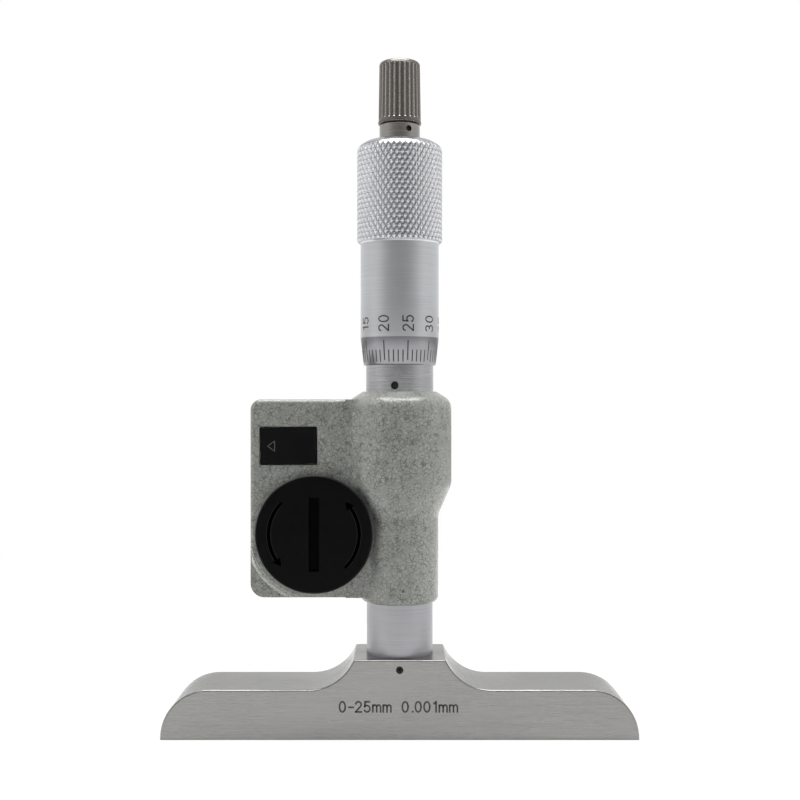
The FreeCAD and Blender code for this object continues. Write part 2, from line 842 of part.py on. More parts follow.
def makeRatchet():
    collar = newBody("ratchet_collar")
    turned(collar, [
        (0, s.spigotFoot),
        (s.rodPocketRadius, s.spigotFoot, s.edgeBreak),
        (s.rodPocketRadius, s.thimbleTop),
        (s.collarRadius, s.thimbleTop),
        (s.collarRadius, s.collarTop, s.collarRound),
        (s.postRadius, s.collarTop),
        (s.postRadius, s.postTop),
        (s.screwShank, s.postTop),
        (s.screwShank, s.ratchetTop),
        (0, s.ratchetTop),
    ])
    hole = sketchOn(collar, "XZ_Plane", s.postRadius + s.looseGap, s.collarHoleTurn)
    ring(hole, 0, s.collarHoleHeight, s.collarHole)
    pocketed(collar, hole, s.collarRadius, back=True)
    disc = newBody("ratchet_disc")
    turned(disc, [
        (s.postRadius, s.collarTop),
        (s.ratchetRadius, s.collarTop),
        (s.ratchetRadius, s.ratchetTop),
        (s.postRadius, s.ratchetTop),
    ])
    # saw teeth on the disc's upper face
    notch = sketchOn(disc, "YZ_Plane")
    halfTooth = s.ratchetRadius * math.pi / s.toothCount
    outline(notch, [
        (0, s.ratchetTop),
        (0, s.ratchetTop - s.toothDepth),
        (halfTooth, s.ratchetTop),
    ])
    tooth = pocketed(disc, notch, s.ratchetRadius + s.cutPast, back=True)
    polar(disc, tooth, s.toothCount)
    screw = newBody("ratchet_screw")
    turned(screw, [
        (0, s.ratchetTop + s.pocketGap),
        (s.screwShank, s.ratchetTop + s.pocketGap),
        (s.screwShank, s.postTop),
        (s.screwHeadRadius, s.postTop),
        (s.screwHeadRadius, s.postTop + s.screwHeadHeight, s.edgeBreak),
        (s.screwSocket, s.postTop + s.screwHeadHeight),
        (0, s.postTop + s.screwHeadHeight - s.screwSocket),
    ])
    makeRatchetSpring()


def makeRatchetSpring():
    # one unbroken wire wound on the post, its ends clear of the web and the screw head
    wire = s.springWire.value
    foot = s.ratchetTop.value + s.looseGap.value + s.knobWeb.value + s.pocketGap.value + wire
    top = s.postTop.value - wire - s.pocketGap.value
    turns = s.springTurns.value
    pitch = (top - foot) / turns
    path = Part.Wire(Part.makeHelix(pitch, top - foot, s.springRadius.value).Edges)
    start = path.Vertexes[0].Point
    section = Part.Wire(Part.makeCircle(wire, start, V(0, 1, 0)))
    shell = Part.BRepOffsetAPI.MakePipeShell(path)
    shell.add(section)
    shell.setFrenetMode(True)
    shell.build()
    shell.makeSolid()
    spring = doc.addObject("Part::Feature", "ratchet_spring")
    spring.Label = "ratchet_spring"
    spring.Shape = shell.shape()
    spring.Placement = FreeCAD.Placement(V(0, 0, foot), FreeCAD.Rotation())
    print(f"ratchet spring: gap between turns {pitch - 2 * wire:.2f} mm")


webFoot = s.ratchetTop + s.looseGap


def makeKnob():
    body = newBody("ratchet_knob")
    turned(body, [
        (s.knobCup, s.knobFoot),
        (s.knobSkirtRadius, s.knobFoot),
        (s.knobSkirtRadius, s.knobSkirtTop, s.edgeBreak),
        (s.knobFootRadius, s.knobSkirtTop + s.edgeBreak),
        (s.knobTopRadius, s.knobTop, s.knobTopRound),
        (0, s.knobTop),
        (0, s.knobCeiling),
        (s.knobBore, s.knobCeiling),
        (s.knobBore, webFoot + s.knobWeb),
        (s.postRadius + s.looseGap / 2, webFoot + s.knobWeb),
        (s.postRadius + s.looseGap / 2, webFoot),
        (s.knobCup, webFoot),
    ])
    flute = sketchOn(body, "XY_Plane", s.knobTop + s.cutPast)
    ring(flute, 0, s.knobFootRadius + s.screwGap, s.fluteRadius)
    cut = pocketed(body, flute, s.knobTop + 1 - s.knobFluteFoot)
    polar(body, cut, s.fluteCount)


def makeBatteryCover():
    body = newBody("battery_cover")
    seal = s.sealSection + s.screwGap
    turned(body, [
        (0, -s.threadLength),
        (s.coverThread, -s.threadLength),
        (s.coverThread, s.sealSection * 2 + s.screwGap),
        (s.sealCentre + seal, s.sealSection * 2 + s.screwGap),
        (s.sealCentre + seal, 0),
        (s.coverRadius, 0),
        (s.coverRadius, s.coverProud, s.coverRim),
        (0, s.coverProud),
    ])
    slot = sketchOn(body, "XY_Plane", s.coverProud)
    block(slot, -s.coinSlotWidth / 2, s.coinSlotWidth / 2,
          -s.coinSlotLength / 2, s.coinSlotLength / 2)
    pocketed(body, slot, s.coinSlotDepth)
    facing(body, -1, s.coverX, s.rearFace + s.coverSeatGap, s.coverZ)
    ringSeal = doc.addObject("Part::Torus", "battery_seal")
    ringSeal.Label = "battery_seal"
    bind(ringSeal, "Radius1", s.sealCentre)
    bind(ringSeal, "Radius2", s.sealSection)
    facing(ringSeal, -1, s.coverX, s.rearFace + s.coverSeatGap / 2 + s.sealSection, s.coverZ)


wellFloor = s.rearFace - s.wellDepth


def makeBattery():
    body = newBody("battery")
    capStep = s.pocketGap
    turned(body, [
        (0, 0),
        (s.batteryCap, 0),
        (s.batteryCap, capStep),
        (s.batteryRadius, capStep),
        (s.batteryRadius, s.batteryHeight, s.edgeBreak),
        (0, s.batteryHeight),
    ])
    facing(body, -1, s.coverX, wellFloor + s.contactRise, s.coverZ)
    thick = s.contactThick
    foot = s.coverZ - s.contactWidth / 2
    # sprung finger under the battery, its tail reaching the board
    finger = newBody("battery_contact_spring")
    strip = sketchOn(finger, "XY_Plane", foot)
    floor = -wellFloor
    tail = tailSlotX
    tip = s.coverX + s.batteryCap / 2
    outline(strip, [
        (tail, s.boardLedge),
        (tail, floor - thick),
        (tip, -(wellFloor + s.contactRise) + s.contactTouch),
        (tip, -(wellFloor + s.contactRise) + s.contactTouch + thick),
        (tail + thick, floor),
        (tail + thick, s.boardLedge),
    ])
    padded(finger, strip, s.contactWidth)
    # side clip against the battery's rim
    clip = newBody("battery_contact_clip")
    side = sketchOn(clip, "XY_Plane", foot)
    rim = s.coverX - s.batteryRadius - s.contactTouch * 2
    block(side, rim - thick, rim, -(wellFloor + s.contactRise + s.batteryHeight / 2), s.boardLedge)
    padded(clip, side, s.contactWidth)


def makePort():
    socket = newBody("data_socket")
    halfWide = s.socketWidth / 2
    halfHigh = s.socketHeight / 2
    shell = sketchOn(socket, "XZ_Plane", s.bayFloor)
    block(shell, s.portX - halfWide - s.socketWall, s.portX + halfWide + s.socketWall,
          s.portZ - halfHigh - s.socketWall, s.portZ + halfHigh + s.socketWall)
    padded(socket, shell, s.bayFloor + s.boardLedge, back=True)
    mouth = sketchOn(socket, "XZ_Plane", s.bayFloor)
    block(mouth, s.portX - halfWide, s.portX + halfWide, s.portZ - halfHigh, s.portZ + halfHigh)
    pocketed(socket, mouth, s.socketDepth)
    cover = newBody("port_cover")
    plate = sketchOn(cover, "XY_Plane")
    block(plate, -s.portCoverWidth / 2, s.portCoverWidth / 2,
          -s.portCoverHeight / 2, s.portCoverHeight / 2, s.edgeBreak)
    padded(cover, plate, s.portCoverThick)
    facing(cover, -1, s.portX, s.rearFace - s.portRecess + s.screwGap, s.portZ)
    tilt = FreeCAD.Rotation(V(0, -1, 0), s.portCoverTilt.value)
    cover.Placement.Rotation = tilt.multiply(cover.Placement.Rotation)


def makeDisplay():
    board = newBody("main_board")
    plate = sketchOn(board, "XZ_Plane", -s.boardLedge)
    gap = s.pocketGap
    block(plate, cavityLeft + gap, -s.cavityRight - gap, cavityFoot + gap, cavityTop - gap)
    padded(board, plate, s.boardThick, back=True)
    face = s.boardLedge + s.boardThick
    lcd = newBody("lcd_module")
    glass = sketchOn(lcd, "XZ_Plane", -face)
    halfWide = s.windowWidth / 2 - gap
    halfHigh = s.windowHeight / 2
    block(glass, bezelX - halfWide, bezelX + halfWide, s.windowZ - halfHigh, s.windowZ + halfHigh)
    padded(lcd, glass, s.displayHeight, back=True)
    mat = newBody("button_mat")
    sheetSketch = sketchOn(mat, "XZ_Plane", -face)
    halfMat = s.buttonPitch + s.buttonFlange - gap
    block(sheetSketch, bezelX - halfMat, bezelX + halfMat,
          s.buttonZ - s.matHalf, s.buttonZ + s.matHalf)
    padded(mat, sheetSketch, flangeFoot - s.buttonTravel - s.matGap - face, back=True)
    makeBezel()
    for step, label in enumerate(("button_power", "button_zero", "button_unit")):
        makeButton(label, bezelX + s.buttonPitch * (1 - step))


def makeBezel():
    body = newBody("display_bezel")
    plate = sketchOn(body, "XZ_Plane", -bezelBack)
    block(plate, -s.bezelLeft, -s.bezelRight, s.bezelFoot, s.bezelTop, s.bezelRound)
    padded(body, plate, s.bezelSink + s.bezelProud, back=True)
    halfWide = s.windowWidth / 2
    halfHigh = s.windowHeight / 2
    step = sketchOn(body, "XZ_Plane", -bezelFace)
    block(step, bezelX - halfWide, bezelX + halfWide, s.windowZ - halfHigh, s.windowZ + halfHigh)
    pocketed(body, step, s.windowThick, back=True)
    view = sketchOn(body, "XZ_Plane", -bezelFace)
    block(view, bezelX - halfWide + s.windowRim, bezelX + halfWide - s.windowRim,
          s.windowZ - halfHigh + s.windowRim, s.windowZ + halfHigh - s.windowRim)
    pocketed(body, view, s.frontFace, back=True)
    holes = sketchOn(body, "XZ_Plane", -bezelFace)
    for step in (-1, 0, 1):
        ring(holes, bezelX + s.buttonPitch * step, s.buttonZ, s.buttonRadius + s.pocketGap)
    pocketed(body, holes, s.frontFace, back=True)
    window = newBody("lcd_window")
    pane = sketchOn(window, "XZ_Plane", -bezelFace)
    block(pane, bezelX - halfWide, bezelX + halfWide, s.windowZ - halfHigh, s.windowZ + halfHigh)
    padded(window, pane, s.windowThick)


def makeButton(label, across):
    # a cap kept behind the bezel by its flange
    body = newBody(label)
    turned(body, [
        (0, 0),
        (s.buttonFlange, 0),
        (s.buttonFlange, s.buttonFlangeThick),
        (s.buttonRadius, s.buttonFlangeThick),
        (s.buttonRadius, bezelFace + s.buttonProud - flangeFoot, s.edgeBreak),
        (0, bezelFace + s.buttonProud - flangeFoot),
    ])
    facing(body, 1, across, flangeFoot, s.buttonZ)


makeBase()
makeGrubScrew("base_set_screw", s.baseScrewRadius, s.stemRadius + s.screwGap,
              s.baseWidth / 2 - s.screwSink, 0, s.baseScrewHeight)
makeStem()
makeHousing()
makeGrubScrew("stem_lock_screw", s.lockScrewRadius, s.stemRadius + s.screwGap,
              s.neckRadius - s.lockScrewSink, s.lockScrewX, s.lockScrewHeight)
makeCarrier()
makeGraduatedSleeve()
makeEncoder()
makeSpindle()
makeThimble()
makeRod()
makeRatchet()
makeKnob()
makeBatteryCover()
makeBattery()
makePort()
makeDisplay()
doc.recompute()

pieces = [o for o in doc.Objects if o.isDerivedFrom("Part::BodyBase")
          or o.TypeId in ("Part::Feature", "Part::Torus")]
for thing in doc.Objects:
    if "Invalid" in thing.State or "Error" in thing.State:
        raise ValueError(f"{thing.Name} failed: {thing.State}")
for piece in pieces:
    if piece.Shape.isNull() or not piece.Shape.isValid() or len(piece.Shape.Solids) != 1:
        raise ValueError(f"{piece.Label} is not one valid solid")
os.makedirs("parts", exist_ok=True)
for piece in pieces:
    piece.Shape.exportStep(f"parts/{piece.Label}.step")
print(f"{len(pieces)} pieces written")
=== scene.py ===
import math
import bpy
import numpy as np
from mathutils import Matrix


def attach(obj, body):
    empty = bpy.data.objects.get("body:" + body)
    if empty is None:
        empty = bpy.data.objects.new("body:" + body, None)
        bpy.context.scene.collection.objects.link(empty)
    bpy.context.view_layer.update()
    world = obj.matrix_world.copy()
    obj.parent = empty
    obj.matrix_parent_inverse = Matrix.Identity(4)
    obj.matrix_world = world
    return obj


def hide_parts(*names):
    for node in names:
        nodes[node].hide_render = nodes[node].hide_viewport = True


# depth gauge seen from its battery side; x along the base, y away from the camera, z up the spindle
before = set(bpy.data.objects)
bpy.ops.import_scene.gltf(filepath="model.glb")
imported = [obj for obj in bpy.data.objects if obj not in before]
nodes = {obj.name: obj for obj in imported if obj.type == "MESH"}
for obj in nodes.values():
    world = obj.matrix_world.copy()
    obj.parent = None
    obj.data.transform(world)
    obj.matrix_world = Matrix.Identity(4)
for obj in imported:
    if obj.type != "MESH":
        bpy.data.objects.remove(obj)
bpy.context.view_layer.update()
print("frame loaded:", len(nodes), "nodes")

mm = 0.001

# camera and studio

view = {
    "distance": 272.5 * mm,
    "height": 71.97 * mm,
    "aside": 0.07 * mm,
    "lens": 56.05,
    "sensor": 36,
    "near": 0.01,
    "far": 50,
}


def placeCamera():
    lens = bpy.data.cameras.new("camera")
    lens.sensor_width = view["sensor"]
    lens.lens = view["lens"]
    lens.clip_start = view["near"]
    lens.clip_end = view["far"]
    camera = bpy.data.objects.new("camera", lens)
    camera.location = (view["aside"], -view["distance"], view["height"])
    camera.rotation_euler = (math.pi / 2, 0, 0)
    bpy.context.scene.collection.objects.link(camera)
    bpy.context.scene.camera = camera


# each lamp's place and its size across and up in metres, then its power in watts
lamps = {
    "left": ((-0.62, -0.11, 0.22), (0.34, 0.7), 3.0),
    "right": ((0.62, -0.11, 0.2), (0.34, 0.7), 3.4),
    "above": ((0.0, -0.03, 0.75), (0.6, 0.5), 8.2),
    "behind": ((0.05, 0.7, 0.3), (0.9, 0.4), 1.6),
}
lampsAimAt = np.array([0.0, 0.0, 0.07])


def hangLamp(name, place, size, power):
    light = bpy.data.lights.new(name, "AREA")
    light.shape = "RECTANGLE"
    light.size, light.size_y = size
    light.energy = power
    lamp = bpy.data.objects.new(name, light)
    lamp.visible_glossy = name == "above"  # metal shows the room's bands at its sides
    lamp.location = place
    aim = lampsAimAt - np.array(place)
    level = math.hypot(aim[0], aim[1])
    lamp.rotation_euler = (math.atan2(level, -aim[2]), 0, math.atan2(aim[1], aim[0]) - math.pi / 2)
    bpy.context.scene.collection.objects.link(lamp)


room = {
    "fill": 0.1,  # the share of it that diffuse surfaces gather
    # brightness from the camera's side (0) round to beyond the object (1)
    "round": ((0.0, 0.3), (0.06, 0.36), (0.16, 0.52), (0.26, 0.72), (0.38, 0.84), (0.5, 0.8),
              (0.8, 0.84), (1.0, 0.95)),
    "over": 0.95,
    "lift": (0.35, 0.9),  # between these heights of a direction it turns to "over"
}


def grey(level):
    return (level, level, level, 1)


def calculated(tree, operation, *values):
    # a Math node's result; each value is a number or a socket
    node = tree.nodes.new("ShaderNodeMath")
    node.operation = operation
    for socket, value in zip(node.inputs, values):
        if isinstance(value, (int, float)):
            socket.default_value = value
        else:
            tree.links.new(value, socket)
    return node.outputs[0]


def mapped(tree, value, low, high, toLow, toHigh):
    node = tree.nodes.new("ShaderNodeMapRange")
    for socket, number in zip(("From Min", "From Max", "To Min", "To Max"),
                              (low, high, toLow, toHigh)):
        node.inputs[socket].default_value = number
    tree.links.new(value, node.inputs["Value"])
    return node.outputs[0]


def mixed(tree, share, first, second):
    # a colour between two others, each a value or a socket
    node = tree.nodes.new("ShaderNodeMix")
    node.data_type = "RGBA"
    tree.links.new(share, node.inputs["Factor"])
    for socket, value in (("A", first), ("B", second)):
        if isinstance(value, tuple):
            node.inputs[socket].default_value = value
        else:
            tree.links.new(value, node.inputs[socket])
    return node.outputs["Result"]


def paintWorld():
    world = bpy.data.worlds.new("studio")
    bpy.context.scene.world = world
    world.use_nodes = True
    tree = world.node_tree
    tree.nodes.clear()
    place = tree.nodes.new("ShaderNodeTexCoord")
    split = tree.nodes.new("ShaderNodeSeparateXYZ")
    tree.links.new(place.outputs["Generated"], split.inputs[0])
    # brightness by compass direction, then lifted towards the top
    ramp = tree.nodes.new("ShaderNodeValToRGB")
    tree.links.new(calculated(tree, "MULTIPLY_ADD", split.outputs["Y"], 0.5, 0.5), ramp.inputs[0])
    stops = room["round"]
    while len(ramp.color_ramp.elements) < len(stops):
        ramp.color_ramp.elements.new(0.5)
    for element, (at, level) in zip(ramp.color_ramp.elements, stops):
        element.position = at
        element.color = grey(level)
    top = mapped(tree, split.outputs["Z"], *room["lift"], 0, 1)
    lifted = mixed(tree, top, ramp.outputs[0], grey(room["over"]))
    # dimmer to diffuse surfaces, plain white to the camera
    ray = tree.nodes.new("ShaderNodeLightPath").outputs
    level = mapped(tree, ray["Is Glossy Ray"], 0, 1, room["fill"], 1)
    shown = mixed(tree, level, grey(0), lifted)
    either = calculated(tree, "MAXIMUM", ray["Is Camera Ray"], ray["Is Transmission Ray"])
    background = tree.nodes.new("ShaderNodeBackground")
    tree.links.new(mixed(tree, either, shown, grey(1)), background.inputs["Color"])
    out = tree.nodes.new("ShaderNodeOutputWorld")
    tree.links.new(background.outputs[0], out.inputs["Surface"])


floorPlan = {
    "radius": 4.0,
    "below": 0.02 * mm,  # just clear of the measuring face
    "tone": 0.8,
    "fade": (0.06, 0.35),  # full white beyond the shadow
    "glow": (0.8, 1.0),
}


def layFloor():
    # a ring grid whose radius grows evenly and whose angle goes once round
    spread = np.linspace(0.0, floorPlan["radius"], 9)
    radius, angle = np.meshgrid(spread, np.linspace(0, 2 * math.pi, 49))
    low = radius * 0 - floorPlan["below"]
    points = np.stack([radius * np.cos(angle), radius * np.sin(angle), low], -1)
    floor = gridMesh("floor", points)
    material = bpy.data.materials.new("floor")
    material.use_nodes = True
    tree = material.node_tree
    tree.nodes.clear()
    matt = tree.nodes.new("ShaderNodeBsdfDiffuse")
    matt.inputs["Color"].default_value = grey(floorPlan["tone"])
    glow = tree.nodes.new("ShaderNodeEmission")
    glow.inputs["Color"].default_value = grey(1)
    place = tree.nodes.new("ShaderNodeTexCoord")
    reach = tree.nodes.new("ShaderNodeVectorMath")
    reach.operation = "LENGTH"
    tree.links.new(place.outputs["Object"], reach.inputs[0])
    fade = mapped(tree, reach.outputs["Value"], *floorPlan["fade"], *floorPlan["glow"])
    ray = tree.nodes.new("ShaderNodeLightPath")
    mix = tree.nodes.new("ShaderNodeMixShader")
    tree.links.new(calculated(tree, "MULTIPLY", ray.outputs["Is Camera Ray"], fade), mix.inputs[0])
    tree.links.new(matt.outputs[0], mix.inputs[1])
    tree.links.new(glow.outputs[0], mix.inputs[2])
    out = tree.nodes.new("ShaderNodeOutputMaterial")
    tree.links.new(mix.outputs[0], out.inputs["Surface"])
    floor.data.materials.append(material)


# meshes from arrays


def gridMesh(name, points, smooth=True):
    # points: rows by columns by 3, joined as quads row to row
    rows, columns = points.shape[:2]
    index = np.arange(rows * columns).reshape(rows, columns)
    faces = np.stack([index[:-1, :-1], index[1:, :-1], index[1:, 1:], index[:-1, 1:]], -1)
    return meshFrom(name, points.reshape(-1, 3), faces.reshape(-1, 4), smooth)


def meshFrom(name, points, faces, smooth=True, fans=None):
    # faces are quads; fans are triangles that close a pole
    groups = [faces] if fans is None else [faces, fans]
    corners = np.concatenate([group.ravel() for group in groups]).astype(np.int32)
    sides = np.concatenate([np.full(len(group), group.shape[1]) for group in groups])
    mesh = bpy.data.meshes.new(name)
    mesh.vertices.add(len(points))
    mesh.vertices.foreach_set("co", np.asarray(points, np.float32).ravel())
    mesh.loops.add(len(corners))
    mesh.loops.foreach_set("vertex_index", corners)
    mesh.polygons.add(len(sides))
    mesh.polygons.foreach_set("loop_start", (np.cumsum(sides) - sides).astype(np.int32))
    mesh.update(calc_edges=True)
    mesh.validate()
    mesh.polygons.foreach_set("use_smooth", np.full(len(mesh.polygons), smooth))
    made = bpy.data.objects.new(name, mesh)
    bpy.context.scene.collection.objects.link(made)
    return made


def ringFaces(rows, columns):
    # quads between rings of the same number of points, each ring closed on itself
    index = np.arange(rows * columns).reshape(rows, columns)
    beside = np.roll(index, -1, axis=1)
    return np.stack([index[:-1], beside[:-1], beside[1:], index[1:]], -1).reshape(-1, 4)


def ribbon(line, width):
    # a strip along a 2-D line: each point moved half the width to either side, square to the line;
    # its ends reach a little past the line's
    line = np.array(line, float)
    along = np.gradient(line, axis=0)
    along /= np.maximum(np.linalg.norm(along, axis=1, keepdims=True), 1e-9)
    past = width * 0.4
    line[0] -= along[0] * past
    line[-1] += along[-1] * past
    aside = np.stack([-along[:, 1], along[:, 0]], -1) * width / 2
    points = np.concatenate([line - aside, line + aside])
    count = len(line)
    step = np.arange(count - 1)
    faces = np.stack([step, step + 1, count + step + 1, count + step], -1)
    return points, faces


def densely(corners, spacing=0.12, sharp=0.6):
    # runs between sharp corners, divided evenly; gentle bends stay within a run
    corners = np.asarray(corners, float)
    legs = np.diff(corners, axis=0)
    heading = np.arctan2(legs[:, 1], legs[:, 0])
    runs, run = [], [corners[0]]
    for index, (start, end) in enumerate(zip(corners[:-1], corners[1:])):
        bend = (heading[index] - heading[index - 1] + math.pi) % (2 * math.pi) - math.pi
        if index and abs(bend) > sharp:
            runs.append(np.array(run))
            run = [start]
        count = max(2, int(np.linalg.norm(end - start) / spacing) + 1)
        share = np.linspace(0, 1, count)[1:, None]
        run.extend(start * (1 - share) + end * share)
    runs.append(np.array(run))
    return runs


def joined(parts):
    # several (points, faces) pairs as one
    points, faces, count = [], [], 0
    for place, quads in parts:
        points.append(place)
        faces.append(quads + count)
        count += len(place)
    return np.concatenate(points), np.concatenate(faces)


# engraved lettering


def bow(x, y, across, up, start, end, count=18):
    # part of an ellipse about (x, y), angles in degrees
    turn = np.radians(np.linspace(start, end, count))
    return np.stack([x + across * np.cos(turn), y + up * np.sin(turn)], -1)


def strokesOf(letter):
    # centre lines of one engraved character, one unit high
    table = {
        "0": [bow(0.3, 0.5, 0.28, 0.5, 0, 360, 30)],
        "1": [[(0.12, 0.8), (0.34, 1.0), (0.34, 0.0)]],
        "2": [np.concatenate([bow(0.3, 0.72, 0.27, 0.28, 165, -30), [(0.03, 0.0), (0.6, 0.0)]])],
        "3": [bow(0.27, 0.76, 0.25, 0.24, 150, -90), bow(0.27, 0.27, 0.3, 0.27, 90, -150)],
        "4": [[(0.46, 0.0), (0.46, 1.0), (0.0, 0.3), (0.62, 0.3)]],
        "5": [np.concatenate([[(0.55, 1.0), (0.1, 1.0), (0.06, 0.53)],
                              bow(0.28, 0.32, 0.29, 0.32, 130, -150)])],
        "-": [[(0.08, 0.45), (0.52, 0.45)]],
        ".": [[(0.16, 0.0), (0.2, 0.04)]],
        "/": [[(0.0, -0.05), (0.45, 1.05)]],
        "m": [[(0.0, 0.0), (0.0, 0.68)], np.concatenate([bow(0.19, 0.46, 0.19, 0.22, 165, 0),
                                                       [(0.38, 0.0)]]),
              np.concatenate([bow(0.57, 0.46, 0.19, 0.22, 165, 0), [(0.76, 0.0)]])],
        "O": [bow(0.32, 0.5, 0.32, 0.5, 0, 360, 30)],
        "N": [[(0.0, 0.0), (0.0, 1.0), (0.56, 0.0), (0.56, 1.0)]],
        "F": [[(0.52, 1.0), (0.0, 1.0), (0.0, 0.0)], [(0.0, 0.52), (0.42, 0.52)]],
        "Z": [[(0.0, 1.0), (0.56, 1.0), (0.0, 0.0), (0.58, 0.0)]],
        "E": [[(0.54, 1.0), (0.0, 1.0), (0.0, 0.0), (0.56, 0.0)], [(0.0, 0.52), (0.44, 0.52)]],
        "R": [np.concatenate([[(0.0, 0.0), (0.0, 1.0), (0.3, 1.0)],
                              bow(0.3, 0.75, 0.24, 0.25, 90, -90), [(0.0, 0.5)]]),
              [(0.26, 0.5), (0.56, 0.0)]],
    }
    return table.get(letter, [])


letterWide = 0.6  # of its height, without the gap after it


def advanceOf(letter):
    return {"m": 1.02, ".": 0.42, " ": 0.42, "-": 0.72, "/": 0.6, "1": 0.66}.get(letter, 0.86)


def writing(text, high, width):
    # strips for a line of text, centred on the origin, reading along +x
    parts = []
    pen = 0.0
    for letter in text:
        for line in strokesOf(letter):
            line = (np.asarray(line, float) + (pen, 0)) * high
            for run in densely(line):
                parts.append(ribbon(run, width))
        pen += advanceOf(letter)
    pen -= advanceOf(text[-1]) - letterWide
    points, faces = joined(parts)
    return points - np.array([pen / 2, 0.5]) * high, faces


def onCylinder(points, radius, angle, height, upright):
    # wraps flat points round the axis; angle is measured from -y towards +x, seen from outside
    if upright:
        along, up = points[:, 0], points[:, 1]
    else:
        along, up = -points[:, 1], points[:, 0]
    turn = math.radians(angle) + along / radius
    size = radius + 0 * turn
    return np.stack([size * np.sin(turn), -size * np.cos(turn), height + up], -1) * mm


placeCamera()
for name, (place, size, power) in lamps.items():
    hangLamp(name, place, size, power)
paintWorld()
layFloor()
print("studio ready")

# finishes


def linear(red, green, blue):
    # screen values 0-255 to the linear colour a shader takes
    values = np.array([red, green, blue]) / 255
    low = values / 12.92
    high = ((values + 0.055) / 1.055) ** 2.4
    return tuple(np.where(values <= 0.04045, low, high)) + (1.0,)


class Finish:
    # one material: a Principled shader with textures that read Object coordinates
    def __init__(self, name, colour, metal, rough, **more):
        self.material = bpy.data.materials.new(name)
        self.material.use_nodes = True
        self.tree = self.material.node_tree
        self.shader = self.tree.nodes["Principled BSDF"]
        self.place = self.tree.nodes.new("ShaderNodeTexCoord").outputs["Object"]
        self.shader.inputs["Base Color"].default_value = colour
        self.shader.inputs["Metallic"].default_value = metal
        self.shader.inputs["Roughness"].default_value = rough
        for socket, value in more.items():
            self.shader.inputs[socket.replace("_", " ")].default_value = value

    def link(self, source, target):
        self.tree.links.new(source, target)

    def scaled(self, x, y, z):
        node = self.tree.nodes.new("ShaderNodeMapping")
        node.inputs["Scale"].default_value = (x, y, z)
        self.link(self.place, node.inputs["Vector"])
        return node.outputs[0]

    def noise(self, where, scale, detail=2.0, rough=0.5):
        node = self.tree.nodes.new("ShaderNodeTexNoise")
        node.inputs["Scale"].default_value = scale
        node.inputs["Detail"].default_value = detail
        node.inputs["Roughness"].default_value = rough
        self.link(where, node.inputs["Vector"])
        return node

    def cells(self, where, scale, feature, random=1.0):
        node = self.tree.nodes.new("ShaderNodeTexVoronoi")
        node.feature = feature
        node.inputs["Scale"].default_value = scale
        node.inputs["Randomness"].default_value = random
        self.link(where, node.inputs["Vector"])
        return node.outputs["Distance"]

    def math(self, operation, *values):
        return calculated(self.tree, operation, *values)

    def ranged(self, value, low, high, toLow, toHigh):
        return mapped(self.tree, value, low, high, toLow, toHigh)

    def blended(self, share, first, second):
        return mixed(self.tree, share, first, second)

    def moved(self, where, by, amount):
        # pushes the pattern's coordinates about by a noise colour
        node = self.tree.nodes.new("ShaderNodeVectorMath")
        node.operation = "MULTIPLY_ADD"
        self.link(by, node.inputs[0])
        node.inputs[1].default_value = (amount, amount, amount)
        self.link(where, node.inputs[2])
        return node.outputs[0]

    def split(self):
        node = self.tree.nodes.new("ShaderNodeSeparateXYZ")
        self.link(self.place, node.inputs[0])
        return node.outputs

    def fromAxis(self, x=0.0, z=None):
        # distance from the spindle axis, or from a line along y through (x, z)
        parts = self.split()
        first = self.math("SUBTRACT", parts["X"], x)
        second = parts["Y"] if z is None else self.math("SUBTRACT", parts["Z"], z)
        squares = self.math("ADD", self.math("MULTIPLY", first, first),
                            self.math("MULTIPLY", second, second))
        return self.math("SQRT", squares)

    def paint(self, colour):
        self.link(colour, self.shader.inputs["Base Color"])

    def gloss(self, value):
        self.link(value, self.shader.inputs["Roughness"])

    def relief(self, height, depth):
        # depth in metres
        node = self.tree.nodes.new("ShaderNodeBump")
        node.inputs["Strength"].default_value = 1.0
        node.inputs["Distance"].default_value = depth
        self.link(height, node.inputs["Height"])
        self.link(node.outputs[0], self.shader.inputs["Normal"])


# scales of noise and cells are per metre; these belong to the plainer finishes
grains = {"collar": (150, 150, 9000), "turned": (200, 200, 6000), "rubber": 3600, "trace": 520,
          "display": 400, "glass": 9000, "pane": 220, "ink": 2600}

enamel = {
    "ground": linear(131, 133, 127),
    "dark": linear(116, 118, 112),
    "pale": linear(155, 157, 151),
    "vein": linear(72, 74, 68),
    # paler ground for the boss's edge: painted highlight, the floor's light on its fillet
    "edge": linear(168, 170, 164),
    "rough": 0.32,
    "coat": {"Coat_Weight": 0.55, "Coat_Roughness": 0.24},
    "cell": 1150.0,
    "sway": 900,
    "swayBy": 1.1 * mm,
    "breaks": 700,
    "veinHalf": (0.02, 0.13),
    "cloud": 260,
    "spot": 2100,
    "domeShare": 0.55,
    "relief": 0.06 * mm,
}


